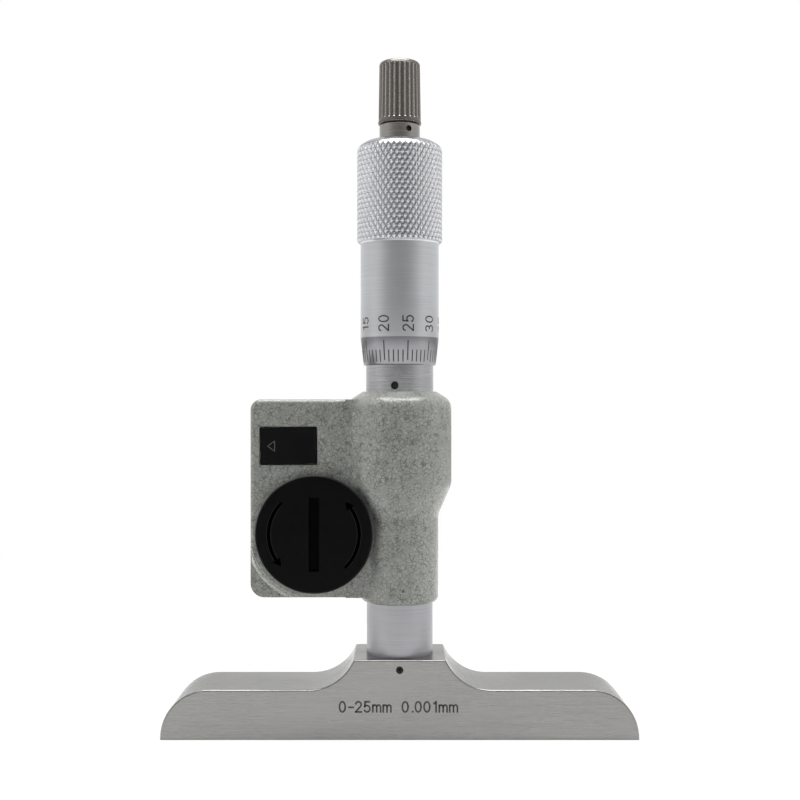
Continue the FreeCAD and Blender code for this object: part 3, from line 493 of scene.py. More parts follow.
def hammertone(name="hammertone", ground=enamel["ground"], dark=enamel["dark"]):
    # enamel that shrank into small domed cells with dark veins between them
    e = enamel
    f = Finish(name, ground, 0.0, e["rough"], **e["coat"])
    sway = f.noise(f.place, e["sway"], 2).outputs["Color"]
    where = f.moved(f.place, sway, e["swayBy"])
    edge = f.cells(where, e["cell"], "DISTANCE_TO_EDGE")
    heart = f.cells(where, e["cell"], "F1")
    broken = f.noise(f.place, e["breaks"], 3).outputs[0]
    half = f.ranged(broken, 0.36, 0.6, *e["veinHalf"])
    vein = f.math("DIVIDE", edge, half)
    vein = f.math("MINIMUM", vein, 1.0)
    cloud = f.ranged(f.noise(f.place, e["cloud"], 3).outputs[0], 0.32, 0.68, 0, 1)
    body = f.blended(cloud, dark, ground)
    spot = f.ranged(f.noise(where, e["spot"], 2).outputs[0], 0.5, 0.72, 0, 0.75)
    body = f.blended(spot, body, e["pale"])
    f.paint(f.blended(vein, e["vein"], body))
    dome = f.math("SUBTRACT", 1.0, f.math("MULTIPLY", heart, heart))
    height = f.math("ADD", f.math("MULTIPLY", dome, e["domeShare"]),
                    f.math("MULTIPLY", vein, 1 - e["domeShare"]))
    f.relief(height, e["relief"])
    f.gloss(f.ranged(cloud, 0, 1, e["rough"] - 0.05, e["rough"] + 0.1))
    return f.material


steel = {
    "face": linear(143, 142, 140),
    "shade": linear(128, 127, 125),
    "rough": 0.24,
    "fine": (260, 9000, 9000),
    "coarse": (90, 2600, 2600),
    "patch": 60,
    "relief": 0.012 * mm,
}


def groundSteel():
    # surface-ground bar: grain runs along x, with faint cross patches of wear
    f = Finish("ground_steel", steel["face"], 1.0, steel["rough"], Anisotropic=0.4)
    fine = f.noise(f.scaled(*steel["fine"]), 1.0, 3, 0.6).outputs[0]
    coarse = f.noise(f.scaled(*steel["coarse"]), 1.0, 2).outputs[0]
    patch = f.noise(f.place, steel["patch"], 3).outputs[0]
    grain = f.math("ADD", f.math("MULTIPLY", fine, 0.65), f.math("MULTIPLY", coarse, 0.35))
    f.paint(f.blended(f.ranged(grain, 0.34, 0.66, 0, 1), steel["shade"], steel["face"]))
    f.gloss(f.math("ADD", f.ranged(grain, 0.3, 0.7, steel["rough"] - 0.07, steel["rough"] + 0.09),
                   f.ranged(patch, 0.35, 0.65, -0.03, 0.05)))
    f.relief(grain, steel["relief"])
    return f.material


chrome = {
    "face": linear(214, 215, 217),
    "shade": linear(196, 197, 200),
    "rough": 0.3,
    "ring": (90, 90, 14000),
    "patch": 140,
    "relief": 0.004 * mm,
}


def satinChrome(name, face, shade, rough):
    # turned and satin plated: very fine rings round the axis
    f = Finish(name, face, 1.0, rough)
    ring = f.noise(f.scaled(*chrome["ring"]), 1.0, 2, 0.6).outputs[0]
    patch = f.noise(f.place, chrome["patch"], 3).outputs[0]
    f.paint(f.blended(f.ranged(ring, 0.3, 0.7, 0, 1), shade, face))
    f.gloss(f.math("ADD", f.ranged(ring, 0.3, 0.7, rough - 0.04, rough + 0.06),
                   f.ranged(patch, 0.35, 0.65, -0.02, 0.04)))
    f.relief(ring, chrome["relief"])
    return f.material


knurl = {
    "around": 46,  # diamonds in a turn
    "high": 2.08,
    "deep": 0.38,
    "radius": 9.3,
    "last": 127.25,  # the grooves run out here
    "runOut": 0.3,
    "flat": 1.45,  # over 1 cuts the points off
    "samples": 10,  # columns to a diamond
    # the plate's tone and where it changes, by height, with painted shade on the taper and low in the
    # grooves
    "taper": (85.48, 85.52),
    "taperShade": linear(143, 143, 146),
    "grip": (105.9, 106.3),
    "grooveShade": linear(158, 158, 160),
    "polish": 0.06,
}


def knurledSteel():
    # the same plate with painted shade on the taper and low in the grooves, polished on the points
    f = Finish("knurled_chrome", chrome["face"], 1.0, 0.2)
    height = f.split()["Z"]
    depth = f.ranged(f.fromAxis(), (knurl["radius"] - knurl["deep"]) * mm, knurl["radius"] * mm, 0, 1)
    inGrip = f.ranged(height, knurl["grip"][0] * mm, knurl["grip"][1] * mm, 0, 1)
    # how low a point lies in a groove within the grip: the share of painted shade
    low = f.math("MULTIPLY", f.math("SUBTRACT", 1.0, depth), inGrip)
    ring = f.noise(f.scaled(*chrome["ring"]), 1.0, 2, 0.6).outputs[0]
    skin = f.blended(f.ranged(ring, 0.3, 0.7, 0, 1), chrome["shade"], chrome["face"])
    # painted shade: the taper is darkened against the floor's light it reflects
    onTaper = f.ranged(height, knurl["taper"][0] * mm, knurl["taper"][1] * mm, 1, 0)
    skin = f.blended(onTaper, skin, knurl["taperShade"])
    # painted shade: a darker plate low in the grooves
    f.paint(f.blended(f.math("MULTIPLY", low, low), skin, knurl["grooveShade"]))
    f.gloss(f.math("SUBTRACT", chrome["rough"], f.math("MULTIPLY", inGrip, knurl["polish"])))
    f.relief(ring, chrome["relief"])
    return f.material


knobTone = {
    "land": linear(109, 104, 100),
    "groove": linear(204, 199, 193),
    "metal": 0.92,
    "rough": 0.27,
    "grain": (1500, 1500, 5200),
    "relief": 0.006 * mm,
    "heights": (133.2, 145.6),  # the lands' radius falls with height
    "radii": (4.62, 4.45),
    "cut": (0.09, 0.22),  # this far below the lands it turns bright
    "flutes": (133.0, 133.1),  # where the flutes begin, and where they end
    "end": (145.2, 145.25),
}


def darkKnob():
    # warm dark plating, brighter low in the flutes
    k = {key: np.array(knobTone[key]) * mm for key in ("heights", "radii", "cut", "flutes", "end")}
    f = Finish("dark_knob", knobTone["land"], knobTone["metal"], knobTone["rough"])
    grain = f.noise(f.scaled(*knobTone["grain"]), 1.0, 3).outputs[0]
    height = f.split()["Z"]
    land = f.ranged(height, *k["heights"], *k["radii"])
    cut = f.ranged(f.math("SUBTRACT", land, f.fromAxis()), *k["cut"], 0, 1)
    inFlutes = f.ranged(height, *k["flutes"], 0, 1)
    below = f.ranged(height, *k["end"], 1, 0)
    cut = f.math("MULTIPLY", f.math("MULTIPLY", cut, inFlutes), below)
    cut = f.math("MULTIPLY", cut, f.ranged(grain, 0.3, 0.7, 0.9, 1.0))
    f.paint(f.blended(cut, knobTone["land"], knobTone["groove"]))
    f.gloss(f.ranged(grain, 0.3, 0.7, knobTone["rough"] - 0.02, knobTone["rough"] + 0.04))
    f.relief(grain, knobTone["relief"])
    return f.material


def darkCollar():
    f = Finish("dark_collar", linear(150, 147, 143), 0.95, 0.2)
    ring = f.noise(f.scaled(*grains["collar"]), 1.0, 2).outputs[0]
    f.paint(f.blended(ring, linear(138, 135, 131), linear(168, 164, 160)))
    f.gloss(f.ranged(ring, 0.3, 0.7, 0.14, 0.26))
    f.relief(ring, chrome["relief"])
    return f.material


def turnedSteel(name, face, shade, rough=0.36):
    f = Finish(name, face, 1.0, rough)
    ring = f.noise(f.scaled(*grains["turned"]), 1.0, 2).outputs[0]
    f.paint(f.blended(f.ranged(ring, 0.3, 0.7, 0, 1), shade, face))
    f.gloss(f.ranged(ring, 0.3, 0.7, rough - 0.06, rough + 0.1))
    f.relief(ring, 0.006 * mm)
    return f.material


moulding = {"grain": 5200, "smear": 160, "speckle": 0.012, "relief": 0.01 * mm}
coverDisc = {
    "centre": (-18.2 * mm, 43.4 * mm),
    "rim": (12.25, 12.6),  # painted highlight on the chamfered rim, from here outwards
    "rimHighlight": 0.8,
    "face": -8.4,
    "sunk": (0.2, 0.4),  # the slot lies deeper than this in the face
    "reach": (9.0, 9.2),  # and within this radius
    # painted shade inside the coin slot, whose shine is dulled too
    "slotShade": linear(2, 2, 2),
    "dull": 0.4,
}


def mouldedBlack(name, tone, worn, rough, shine, disc=None):
    # spark-textured moulding; a disc's rim gets a painted highlight, and what is sunk in its face gets
    # painted shade and is dull
    f = Finish(name, tone, 0.0, rough, Specular_IOR_Level=shine)
    grain = f.noise(f.place, moulding["grain"], 3, 0.6).outputs[0]
    smear = f.noise(f.place, moulding["smear"], 3).outputs[0]
    share = f.ranged(f.math("MULTIPLY", grain, smear), 0.2, 0.42, 0, moulding["speckle"])
    if disc:
        # painted highlight: the rim's chamfer is mixed towards the paler colour
        reach = f.fromAxis(*disc["centre"])
        rim = f.ranged(reach, disc["rim"][0] * mm, disc["rim"][1] * mm, 0, disc["rimHighlight"])
        share = f.math("MAXIMUM", share, f.math("MULTIPLY", rim, f.ranged(smear, 0.4, 0.6, 0.4, 1)))
        start, end = [(disc["face"] + down) * mm for down in disc["sunk"]]
        onFace = f.ranged(f.split()["Y"], start, end, 1, 0)
        beyond = f.ranged(reach, disc["reach"][0] * mm, disc["reach"][1] * mm, 0, 1)
        lit = f.math("MAXIMUM", onFace, beyond)
        shines = f.ranged(lit, 0, 1, shine * disc["dull"], shine)
        f.link(shines, f.shader.inputs["Specular IOR Level"])
        # painted shade: the slot takes the darker tone
        tone = f.blended(lit, disc["slotShade"], tone)
    f.paint(f.blended(share, tone, worn))
    f.gloss(f.ranged(smear, 0.35, 0.65, rough - 0.06, rough + 0.08))
    f.relief(grain, moulding["relief"])
    return f.material


def softRubber(name, tone, worn):
    f = Finish(name, tone, 0.0, 0.62)
    grain = f.noise(f.place, grains["rubber"], 3).outputs[0]
    f.paint(f.blended(grain, tone, worn))
    f.relief(grain, 0.012 * mm)
    return f.material


def maskedBoard():
    f = Finish("circuit_board", linear(24, 92, 56), 0.0, 0.34)
    trace = f.cells(f.place, grains["trace"], "DISTANCE_TO_EDGE", 0.4)
    line = f.ranged(trace, 0.05, 0.1, 0, 1)
    f.paint(f.blended(line, linear(34, 120, 74), linear(22, 84, 52)))
    f.relief(line, 0.02 * mm)
    return f.material


def displayGlass():
    f = Finish("display_face", linear(170, 178, 160), 0.0, 0.22, Coat_Weight=0.4)
    cloud = f.noise(f.place, grains["display"], 2).outputs[0]
    f.paint(f.blended(cloud, linear(164, 172, 154), linear(178, 185, 168)))
    f.relief(f.noise(f.place, grains["glass"], 1).outputs[0], 0.001 * mm)
    return f.material


def clearPane():
    f = Finish("clear_pane", linear(235, 240, 240), 0.0, 0.03, Transmission_Weight=1.0, IOR=1.45)
    smear = f.noise(f.place, grains["pane"], 3).outputs[0]
    f.gloss(f.ranged(smear, 0.4, 0.7, 0.02, 0.08))
    return f.material


def engravedInk(name, tone, worn):
    # filled engraving, a little uneven
    f = Finish(name, tone, 0.0, 0.5)
    uneven = f.noise(f.place, grains["ink"], 3).outputs[0]
    f.paint(f.blended(f.ranged(uneven, 0.35, 0.75, 0, 1), tone, worn))
    f.relief(uneven, 0.01 * mm)
    return f.material


finishes = {
    "hammertone": hammertone(),
    # the boss's blended edge takes a paler copy of the enamel: painted highlight
    "bossEdge": hammertone("boss_edge_lit_enamel", enamel["edge"], enamel["pale"]),
    "steel": groundSteel(),
    "stem": satinChrome("stem_chrome", linear(165, 164, 167), linear(149, 149, 152), 0.36),
    "sleeve": satinChrome("sleeve_chrome", linear(196, 196, 198), linear(178, 178, 181), 0.24),
    "knurled": knurledSteel(),
    "knob": darkKnob(),
    "collar": darkCollar(),
    "inner": turnedSteel("inner_steel", linear(170, 170, 172), linear(140, 140, 143)),
    "oxide": turnedSteel("black_oxide", linear(62, 61, 60), linear(38, 38, 38), 0.42),
    "bronze": turnedSteel("bronze", linear(190, 158, 104), linear(150, 118, 70)),
    "plated": turnedSteel("plated_can", linear(205, 205, 205), linear(180, 180, 182), 0.25),
    "brass": turnedSteel("sprung_brass", linear(205, 180, 120), linear(170, 142, 84), 0.3),
    "cover": mouldedBlack("black_cover", linear(5, 5, 5), linear(80, 80, 80), 0.34, 0.06, coverDisc),
    "portCover": mouldedBlack("black_port_cover", linear(8, 8, 8), linear(50, 50, 50), 0.36, 0.09),
    "panel": mouldedBlack("black_panel", linear(20, 20, 21), linear(60, 60, 62), 0.38, 0.3),
    "key": mouldedBlack("grey_key", linear(120, 124, 130), linear(190, 193, 198), 0.4, 0.4),
    "silicone": softRubber("silicone", linear(110, 110, 112), linear(130, 130, 131)),
    "seal": softRubber("seal_rubber", linear(26, 26, 26), linear(44, 44, 44)),
    "board": maskedBoard(),
    "display": displayGlass(),
    "pane": clearPane(),
    "ink": engravedInk("engraved_ink", linear(34, 28, 26), linear(62, 54, 50)),
    "lcdInk": engravedInk("segment_ink", linear(22, 24, 26), linear(34, 37, 39)),
    "legend": engravedInk("legend_print", linear(214, 214, 212), linear(188, 188, 186)),
    # the cover arrows' grooves and their lips: painted shade and painted highlight
    "groove": mouldedBlack("cover_arrow_groove_shade", linear(1, 1, 1), linear(12, 12, 12), 0.7, 0.0),
    "grooveLipHighlight": mouldedBlack("cover_arrow_lip_highlight", linear(22, 22, 22), linear(60, 60, 60), 0.4, 0.12),
    # the port cover's embossed triangle, drawn in pale strokes: painted highlight along its edges
    "mark": engravedInk("port_mark_highlight", linear(88, 88, 84), linear(44, 44, 42)),
}

wears = {
    "base": "steel", "base_set_screw": "oxide", "stem_tube": "stem", "guide_bush": "bronze",
    "housing": "hammertone", "stem_lock_screw": "hammertone", "inner_sleeve": "inner",
    "adjusting_nut": "inner", "encoder_stator": "board", "main_board": "board",
    "lcd_module": "display", "lcd_window": "pane", "display_bezel": "panel",
    "button_mat": "silicone", "battery": "plated", "battery_contact_spring": "brass",
    "battery_contact_clip": "brass", "data_socket": "panel", "graduated_sleeve": "sleeve",
    "encoder_rotor": "board", "rotor_bush": "bronze", "drive_key": "inner", "spindle": "inner",
    "measuring_rod": "inner", "rod_head_nut": "inner", "rod_lock_nut": "inner",
    "thimble": "knurled", "ratchet_collar": "collar", "ratchet_disc": "inner",
    "ratchet_spring": "inner", "ratchet_screw": "inner", "ratchet_knob": "knob",
    "battery_cover": "cover", "battery_seal": "seal", "port_cover": "portCover",
    "button_power": "key", "button_zero": "key", "button_unit": "key",
}
for node, finish in wears.items():
    held = nodes[node].data.materials
    held.clear()
    held.append(finishes[finish])
print("finishes assigned")

# thimble with its knurled grip

thimble = {
    "foot": 79.5,
    "footRadius": 7.85,
    "taperTop": 85.5,
    "radius": 8.54,
    "gripFoot": 105.9,
    "gripBreak": 0.7,
    # the dome over the grip: height and radius
    "dome": ((126.5, 9.3), (127.3, 8.75), (128.1, 7.5), (128.6, 5.9), (128.86, 4.5)),
    "bore": 7.5,
    "ceiling": 122.0,
    "hole": 5.0,
    "lipFoot": 127.5,  # underside of the lip at the top of the hole
    "break": 0.2,
    "barrelRing": 95.0,  # rings that divide the long plain faces
    "boreRing": 100.0,
    "rows": 14,  # to a diamond's height
}


def gripOutline(height):
    # the grip's plain radius by height: break, cylinder, then the dome
    t = thimble
    stops = [t["gripFoot"], t["gripFoot"] + t["gripBreak"]] + [z for z, r in t["dome"]]
    return np.interp(height, stops, [t["radius"], knurl["radius"]] + [r for z, r in t["dome"]])


def buildThimble():
    # a closed surface of revolution; on the grip the radius is the lower of the plain outline and
    # pyramids left between two sets of crossed V grooves
    t = thimble
    columns = knurl["around"] * knurl["samples"]
    outer = [(t["footRadius"] - t["break"], t["foot"]), (t["footRadius"], t["foot"] + t["break"])]
    outer += [(t["radius"], z) for z in (t["taperTop"], t["barrelRing"], t["gripFoot"])]
    step = knurl["high"] / t["rows"]
    crown = t["dome"][-1][0]
    grip = np.arange(t["gripFoot"] + step / 2, crown, step)
    inner = [(t["hole"], t["lipFoot"]), (t["hole"], t["ceiling"]), (t["bore"], t["ceiling"]),
             (t["bore"], t["boreRing"]), (t["bore"], t["foot"])]
    rim = t["dome"][-1][1]
    radius = np.array([r for r, z in outer] + [0] * len(grip) + [rim, rim] + [r for r, z in inner])
    height = np.array([z for r, z in outer] + list(grip) + [crown, t["lipFoot"]] + [z for r, z in inner])
    turn = np.arange(columns) / columns
    first = len(outer)
    z = height[:, None] + 0 * turn[None]
    r = radius[:, None] + 0 * turn[None]
    band = slice(first, first + len(grip))
    across = knurl["around"] * turn[None]
    climb = (z[band] - t["gripFoot"]) / knurl["high"]
    rising = np.abs((across + climb) % 1 - 0.5) * 2
    falling = np.abs((across - climb) % 1 - 0.5) * 2
    left = np.minimum(1, knurl["flat"] * (1 - np.maximum(rising, falling)))
    runOut = np.clip((knurl["last"] - z[band]) / knurl["runOut"], 0, 1)
    cut = knurl["radius"] - knurl["deep"] * (1 - left) * runOut
    r[band] = np.minimum(cut, gripOutline(z[band]))
    angle = 2 * math.pi * turn[None] + 0 * z
    points = np.stack([r * np.sin(angle), -r * np.cos(angle), z], -1) * mm
    rings = len(height)
    faces = ringFaces(rings, columns)
    around = np.arange(columns)
    beside = (around + 1) % columns
    last = (rings - 1) * columns
    closing = np.stack([last + around, last + beside, beside, around], -1)
    skin = meshFrom("thimble_skin", points.reshape(-1, 3), np.concatenate([faces, closing]))
    creases = skin.data.attributes.new("sharp_face", "BOOLEAN", "FACE")
    flat = np.ones(len(skin.data.polygons), bool)
    flat[columns:columns * 3] = False  # the taper and the barrel's lower part are smooth
    creases.data.foreach_set("value", flat)
    skin.data.materials.append(finishes["knurled"])
    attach(skin, "spindle")
    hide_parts("thimble")
    print("thimble:", len(skin.data.polygons), "faces")


buildThimble()

# fluted ratchet knob

knob = {
    "flutes": 24,
    "columns": 14,  # to a flute
    "half": 0.3,  # half a flute's width
    "deep": 0.26,
    "runIn": 0.12,
    "runOut": 0.5,
    "first": 133.15,  # flutes start here and run out at last
    "last": 144.95,
    "footRadius": 4.62,
    "topRadius": 4.44,
    "top": 145.8,
    "round": 0.85,
    "bend": 82,  # degrees of the crown's rounding
    "skirt": ((3.8, 132.15), (4.6, 132.15), (4.72, 132.3), (4.7, 132.6), (4.62, 132.9), (4.62, 133.05)),
    "inside": ((3.8, 134.0), (3.4, 134.0), (3.4, 142.6), (0.0, 142.7)),
}


def buildKnob():
    # rings from the inner pole, down the cup, round the skirt and up the flutes to the top pole;
    # each flute is a parabola across, as deep as its run-in and run-out let it be
    k = knob
    columns = k["flutes"] * k["columns"]
    lead = k["first"] + np.array([-0.02, 0.04, 0.12])
    shaft = np.linspace(k["first"] + 0.3, k["last"] - 0.7, 8)
    tail = np.linspace(k["last"] - 0.6, k["last"] + 0.05, 9)
    body = np.concatenate([lead, shaft, tail])
    plain = np.interp(body, [k["first"], k["last"]], [k["footRadius"], k["topRadius"]])
    bend = np.radians(np.linspace(0, k["bend"], 8))
    crownRadius = k["topRadius"] - k["round"] * (1 - np.cos(bend))
    crownHeight = k["top"] - k["round"] * (1 - np.sin(bend))
    inside = k["inside"][::-1][1:]
    radius = np.concatenate([[r for r, z in inside], [r for r, z in k["skirt"]], plain, crownRadius])
    height = np.concatenate([[z for r, z in inside], [z for r, z in k["skirt"]], body, crownHeight])
    depth = np.zeros(len(radius))
    start = len(inside) + len(k["skirt"])
    runIn = np.clip((body - k["first"]) / k["runIn"], 0, 1)
    runOut = np.clip((k["last"] - body) / k["runOut"], 0, 1)
    depth[start:start + len(body)] = k["deep"] * np.minimum(runIn, np.sqrt(runOut))
    turn = 2 * math.pi * np.arange(columns) / columns
    offset = (turn * k["flutes"] / (2 * math.pi) + 0.5) % 1 - 0.5
    across = offset * 2 * math.pi / k["flutes"] * k["footRadius"] / k["half"]
    shape = np.maximum(0, 1 - across ** 2)
    r = radius[:, None] - depth[:, None] * shape[None]
    z = height[:, None] + 0 * r
    points = np.stack([r * np.sin(turn), -r * np.cos(turn), z], -1).reshape(-1, 3)
    rings = len(radius)
    poles = np.array([[0, 0, k["inside"][-1][1]], [0, 0, k["top"]]])
    around = np.arange(columns)
    beside = (around + 1) % columns
    low = np.stack([np.full(columns, rings * columns), beside, around], -1)
    last = (rings - 1) * columns
    high = np.stack([np.full(columns, rings * columns + 1), last + around, last + beside], -1)
    skin = meshFrom("knob_skin", np.concatenate([points, poles]) * mm, ringFaces(rings, columns),
                    fans=np.concatenate([low, high]))
    skin.data.materials.append(finishes["knob"])
    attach(skin, "knob")
    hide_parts("ratchet_knob")
    print("knob:", len(skin.data.polygons), "faces")


buildKnob()

# thimble scale

dial = {
    "divisions": 50,
    "facing": 23.3,  # the reading that faces the camera
    "foot": 79.62,
    "short": 82.7,
    "long": 84.7,
    "line": 0.25,
    "digitHigh": 2.25,
    "digitLine": 0.3,
    "digitCentre": 88.3,
    "proud": 0.012,
    "rows": 6,  # points up a line
}


def thimbleRadiusAt(height):
    t = thimble
    return np.interp(height, [t["foot"], t["foot"] + t["break"], t["taperTop"]],
                     [t["footRadius"] - t["break"], t["footRadius"], t["radius"]])


def engraveThimble():
    parts = []
    rows = dial["rows"]
    for mark in range(dial["divisions"]):
        angle = math.radians((mark - dial["facing"]) * 360 / dial["divisions"])
        top = dial["short"] if mark % 5 else dial["long"]
        height = np.linspace(dial["foot"], top, rows)
        radius = thimbleRadiusAt(height) + dial["proud"]
        aside = dial["line"] / 2 / radius
        sides = [np.stack([radius * np.sin(angle + s * aside), -radius * np.cos(angle + s * aside),
                           height], -1) for s in (-1, 1)]
        index = np.arange(rows - 1)
        faces = np.stack([index, index + rows, index + rows + 1, index + 1], -1)
        parts.append((np.concatenate(sides) * mm, faces))
    for number in range(0, dial["divisions"], 5):
        flat, faces = writing(str(number), dial["digitHigh"], dial["digitLine"])
        angle = (number - dial["facing"]) * 360 / dial["divisions"]
        place = onCylinder(flat, thimble["radius"] + dial["proud"], angle, dial["digitCentre"], False)
        parts.append((place, faces))
    points, faces = joined(parts)
    marks = meshFrom("thimble_scale", points, faces, False)
    marks.data.materials.append(finishes["ink"])
    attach(marks, "spindle")


engraveThimble()

# graduated sleeve, on the display side

sleeveScale = {
    "radius": 7.35,
    "zero": 99.5,
    "travel": 25,
    "line": 0.13,
    # how far the marks of 0.5, 1 and 5 mm reach
    "half": 1.4,
    "one": 1.6,
    "five": 2.4,
    "digitHigh": 1.5,
    "digitTurn": 26,
}


def engraveSleeve():
    s = sleeveScale
    radius = s["radius"] + dial["proud"]
    parts = []

    def bar(low, high, left, right, columns=9):
        # a patch on the sleeve between two heights and two distances round it
        u, v = np.meshgrid(np.linspace(left, right, columns) / radius, np.array([low, high]))
        points = np.stack([-radius * np.sin(u), radius * np.cos(u), v], -1).reshape(-1, 3) * mm
        i = np.arange(columns - 1)
        parts.append((points, np.stack([i, i + 1, i + columns + 1, i + columns], -1)))

    half = s["line"] / 2
    bar(s["zero"] - s["travel"], s["zero"], -half, half)
    for step in range(s["travel"] * 2 + 1):
        height = s["zero"] - step / 2
        if step % 2:
            bar(height - half, height + half, -s["half"], 0)
        else:
            bar(height - half, height + half, 0, s["one"] if step % 10 else s["five"])
        if step % 10 == 0:
            flat, faces = writing(str(step // 2), s["digitHigh"], s["line"])
            turned = onCylinder(flat, radius, 180 + s["digitTurn"], height, True)
            parts.append((turned, faces))
    points, faces = joined(parts)
    marks = meshFrom("sleeve_scale", points, faces, False)
    marks.data.materials.append(finishes["ink"])
    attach(marks, "sleeve")


engraveSleeve()

# painted shade in the spanner hole, and the boss's blended edge

spannerHole = {"radius": 0.86, "turn": -8.6, "height": 75.1, "deep": 6.55, "rings": 5, "around": 25}


def floorSpannerHole():
    # a small disc bent to the sleeve: the angle grows by row and the share of the radius by column
    s = spannerHole
    circle = np.linspace(0, 2 * math.pi, s["around"])
    share, angle = np.meshgrid(np.linspace(0.02, 1, s["rings"]), circle)
    flat = np.stack([share * np.cos(angle), share * np.sin(angle)], -1).reshape(-1, 2)
    place = onCylinder(flat * s["radius"], s["deep"], s["turn"], s["height"], True)
    disc = gridMesh("spanner_hole_shade", place.reshape(s["around"], s["rings"], 3))
    # painted shade: the disc in the black oxide finish darkens the hole
    disc.data.materials.append(finishes["oxide"])
    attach(disc, "sleeve")


floorSpannerHole()

bossEdge = {
    "x": -18.2,
    "z": 43.4,
    "inner": 13.75,
    "outer": 15.1,
    "reach": 13.72,  # to the box's sides
    "fade": 0.5,  # where a side leaves less width than this, the edge falls less
    "high": -6.02,
    "low": -4.98,
    "start": 193.5,
    "end": 256.5,
    "across": 13,
    "along": 61,
}


def blendBossEdge():
    # a quarter-cosine section, level on the boss and steep at its foot, carried along an arc
    b = bossEdge
    sweep = np.radians(np.linspace(b["start"], b["end"], b["along"]))
    share, turn = np.meshgrid(np.linspace(0, 1, b["across"]), sweep)
    far = np.minimum(b["outer"], b["reach"] / np.maximum(np.abs(np.cos(turn)), np.abs(np.sin(turn))))
    radius = b["inner"] + (far - b["inner"]) * share
    fall = 1 - np.cos(math.pi / 2 * share)
    depth = b["high"] + (b["low"] - b["high"]) * fall * np.clip((far - b["inner"]) / b["fade"], 0, 1)
    points = np.stack([b["x"] + radius * np.cos(turn), depth, b["z"] + radius * np.sin(turn)], -1)
    edge = gridMesh("boss_edge", points * mm)
    # painted highlight: the paler enamel stands in for the floor's light on the fillet
    edge.data.materials.append(finishes["bossEdge"])
    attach(edge, "frame")


blendBossEdge()

# marks on the base

baseMark = {"text": "0-25mm  0.001mm", "high": 2.15, "line": 0.36, "x": -0.45, "z": 7.05, "y": -9.0}


def onPlane(flat, x, z, y, towards):
    # flat points on a plane square to y; towards -1 faces the camera, +1 faces away from it
    return np.stack([x - towards * flat[:, 0], 0 * flat[:, 0] + y + towards * dial["proud"],
                     z + flat[:, 1]], -1) * mm


def engraveBase():
    flat, faces = writing(baseMark["text"], baseMark["high"], baseMark["line"])
    place = onPlane(flat, baseMark["x"], baseMark["z"], baseMark["y"], -1)
    marks = meshFrom("base_marking", place, faces, False)
    marks.data.materials.append(finishes["ink"])
    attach(marks, "frame")


engraveBase()

# battery cover arrows and port mark

arrows = {"x": -18.2, "z": 43.4, "y": -8.4, "radius": 9.62, "width": 0.72, "lip": 0.12, "barb": 0.98,
          "tip": 1.7, "runs": ((137, 214), (-45, 36))}


def markCover():
    a = arrows
    parts, lipHighlights = [], []
    for start, end in a["runs"]:
        turn = np.radians(np.linspace(start, end, 30))
        line = np.stack([np.cos(turn), np.sin(turn)], -1) * a["radius"]
        # painted shade: each engraved arrow's groove is a dark strip laid on the face
        parts.append(ribbon(line, a["width"]))
        for side in (-1, 1):  # painted highlight: strips along the groove's two lips, where they catch a little light
            lip = line * (1 + side * (a["width"] + a["lip"]) / 2 / a["radius"])
            lipHighlights.append(ribbon(lip, a["lip"]))
        # the head: two barbs, the tip, and a point between it and the inner barb
        last = turn[-1]
        point = last + a["tip"] / a["radius"]
        out = np.array([math.cos(last), math.sin(last)])
        inner, outer = out * (a["radius"] - a["barb"]), out * (a["radius"] + a["barb"])
        tip = np.array([math.cos(point), math.sin(point)]) * a["radius"]
        parts.append((np.array([inner, outer, tip, (inner + tip) / 2]), np.array([[0, 1, 2, 3]])))
    flat, faces = joined(parts)
    place = onPlane(flat, a["x"], a["z"], a["y"], -1)
    marks = meshFrom("cover_arrows_painted_shade", place, faces, False)
    marks.data.materials.append(finishes["groove"])
    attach(marks, "battery_lid")
    flat, faces = joined(lipHighlights)
    place = onPlane(flat, a["x"], a["z"], a["y"], -1)
    lipHighlightStrips = meshFrom("cover_arrow_lips_painted_highlight", place, faces, False)
    lipHighlightStrips.data.materials.append(finishes["grooveLipHighlight"])
    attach(lipHighlightStrips, "battery_lid")


markCover()

portMark = {"x": -27.5, "z": 62.1, "y": -6.1, "long": 1.5, "half": 1.1, "line": 0.16}


def markPort():
    # painted highlight: pale strokes along the embossed triangle's edges
    base = portMark["long"] / 2
    corners = [(base, portMark["half"]), (-base, 0), (base, -portMark["half"])]
    runs = densely(corners + [corners[0]])
    flat, faces = joined([ribbon(run, portMark["line"]) for run in runs])
    place = onPlane(flat, portMark["x"], portMark["z"], portMark["y"], -1)
    marks = meshFrom("port_mark_highlight", place, faces, False)
    marks.data.materials.append(finishes["mark"])
    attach(marks, "port_lid")


markPort()

# display side

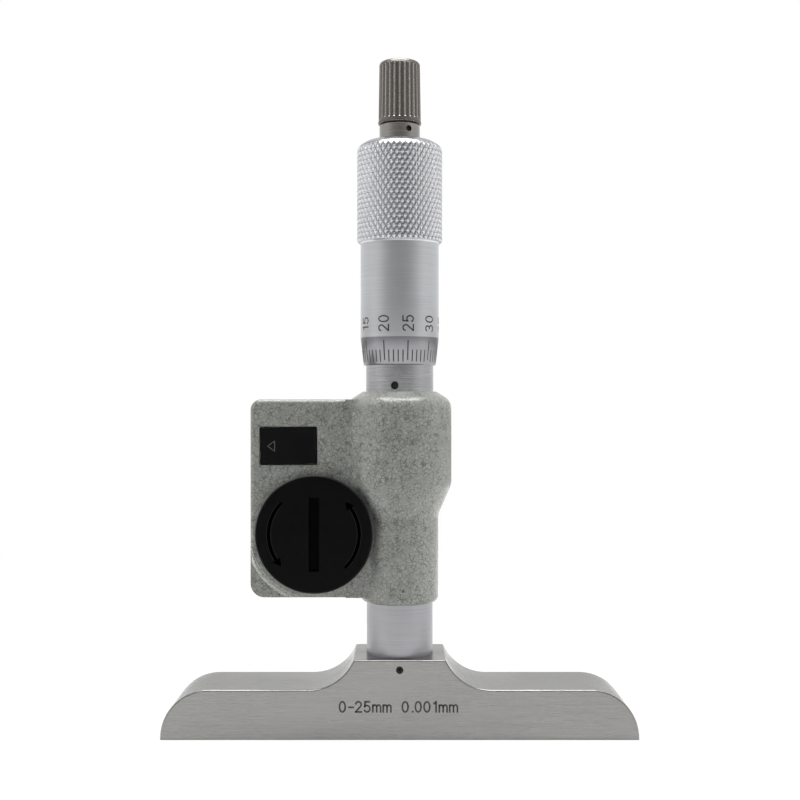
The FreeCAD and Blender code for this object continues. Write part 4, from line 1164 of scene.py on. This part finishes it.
reading = {
    "text": "0.000",
    "x": -19.8,
    "z": 60.0,
    "y": 8.1,
    "high": 5.4,
    "wide": 2.8,
    "bar": 0.56,
    "gap": 0.62,  # of a bar, at each end of a segment
    "dot": 0.06,
    "pitch": 3.75,
    "afterPoint": 0.9,
    "slant": 0.08,
    "unit": {"text": "mm", "high": 1.5, "line": 0.2, "back": 2.2, "up": 6.75},
}


def showReading():
    w, h, b = reading["wide"], reading["high"], reading["bar"]
    gap = b * reading["gap"]
    # a nought: all segments but the middle one
    bars = [((gap, h), (w - gap, h)), ((w, h - gap), (w, h / 2 + gap)), ((w, h / 2 - gap), (w, gap)),
            ((gap, 0), (w - gap, 0)), ((0, gap), (0, h / 2 - gap)), ((0, h / 2 + gap), (0, h - gap))]
    between = reading["pitch"] - w
    parts = []
    pen = 0.0
    for letter in reading["text"]:
        if letter == ".":
            pen += reading["afterPoint"]
            middle = pen - (between + reading["afterPoint"]) / 2
            dot = [(middle - reading["dot"], 0.0), (middle + reading["dot"], 0.0)]
            parts.append(ribbon(np.array(dot), b))
            continue
        parts += [ribbon(np.array(bar) + (pen, 0), b) for bar in bars]
        pen += reading["pitch"]
    unit = reading["unit"]
    letters, unitFaces = writing(unit["text"], unit["high"], unit["line"])
    parts.append((letters + (pen - unit["back"], unit["up"]), unitFaces))
    flat, faces = joined(parts)
    flat[:, 0] += flat[:, 1] * reading["slant"] - (pen - between) / 2
    flat[:, 1] -= h / 2
    place = onPlane(flat, reading["x"], reading["z"], reading["y"], 1)
    digits = meshFrom("display_reading", place, faces, False)
    digits.data.materials.append(finishes["lcdInk"])
    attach(digits, "frame")


showReading()

legends = {"y": 10.8, "z": 45.2, "high": 1.4, "line": 0.17,
           "places": ((-13.15, "ON/OFF"), (-20.05, "ZERO"), (-26.95, "mm"))}


def printLegends():
    parts = []
    for x, text in legends["places"]:
        flat, faces = writing(text, legends["high"], legends["line"])
        parts.append((onPlane(flat, x, legends["z"], legends["y"], 1), faces))
    points, faces = joined(parts)
    marks = meshFrom("key_legends", points, faces, False)
    marks.data.materials.append(finishes["legend"])
    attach(marks, "frame")


printLegends()
print("marks placed")

bpy.context.scene.view_settings.view_transform = "Standard"
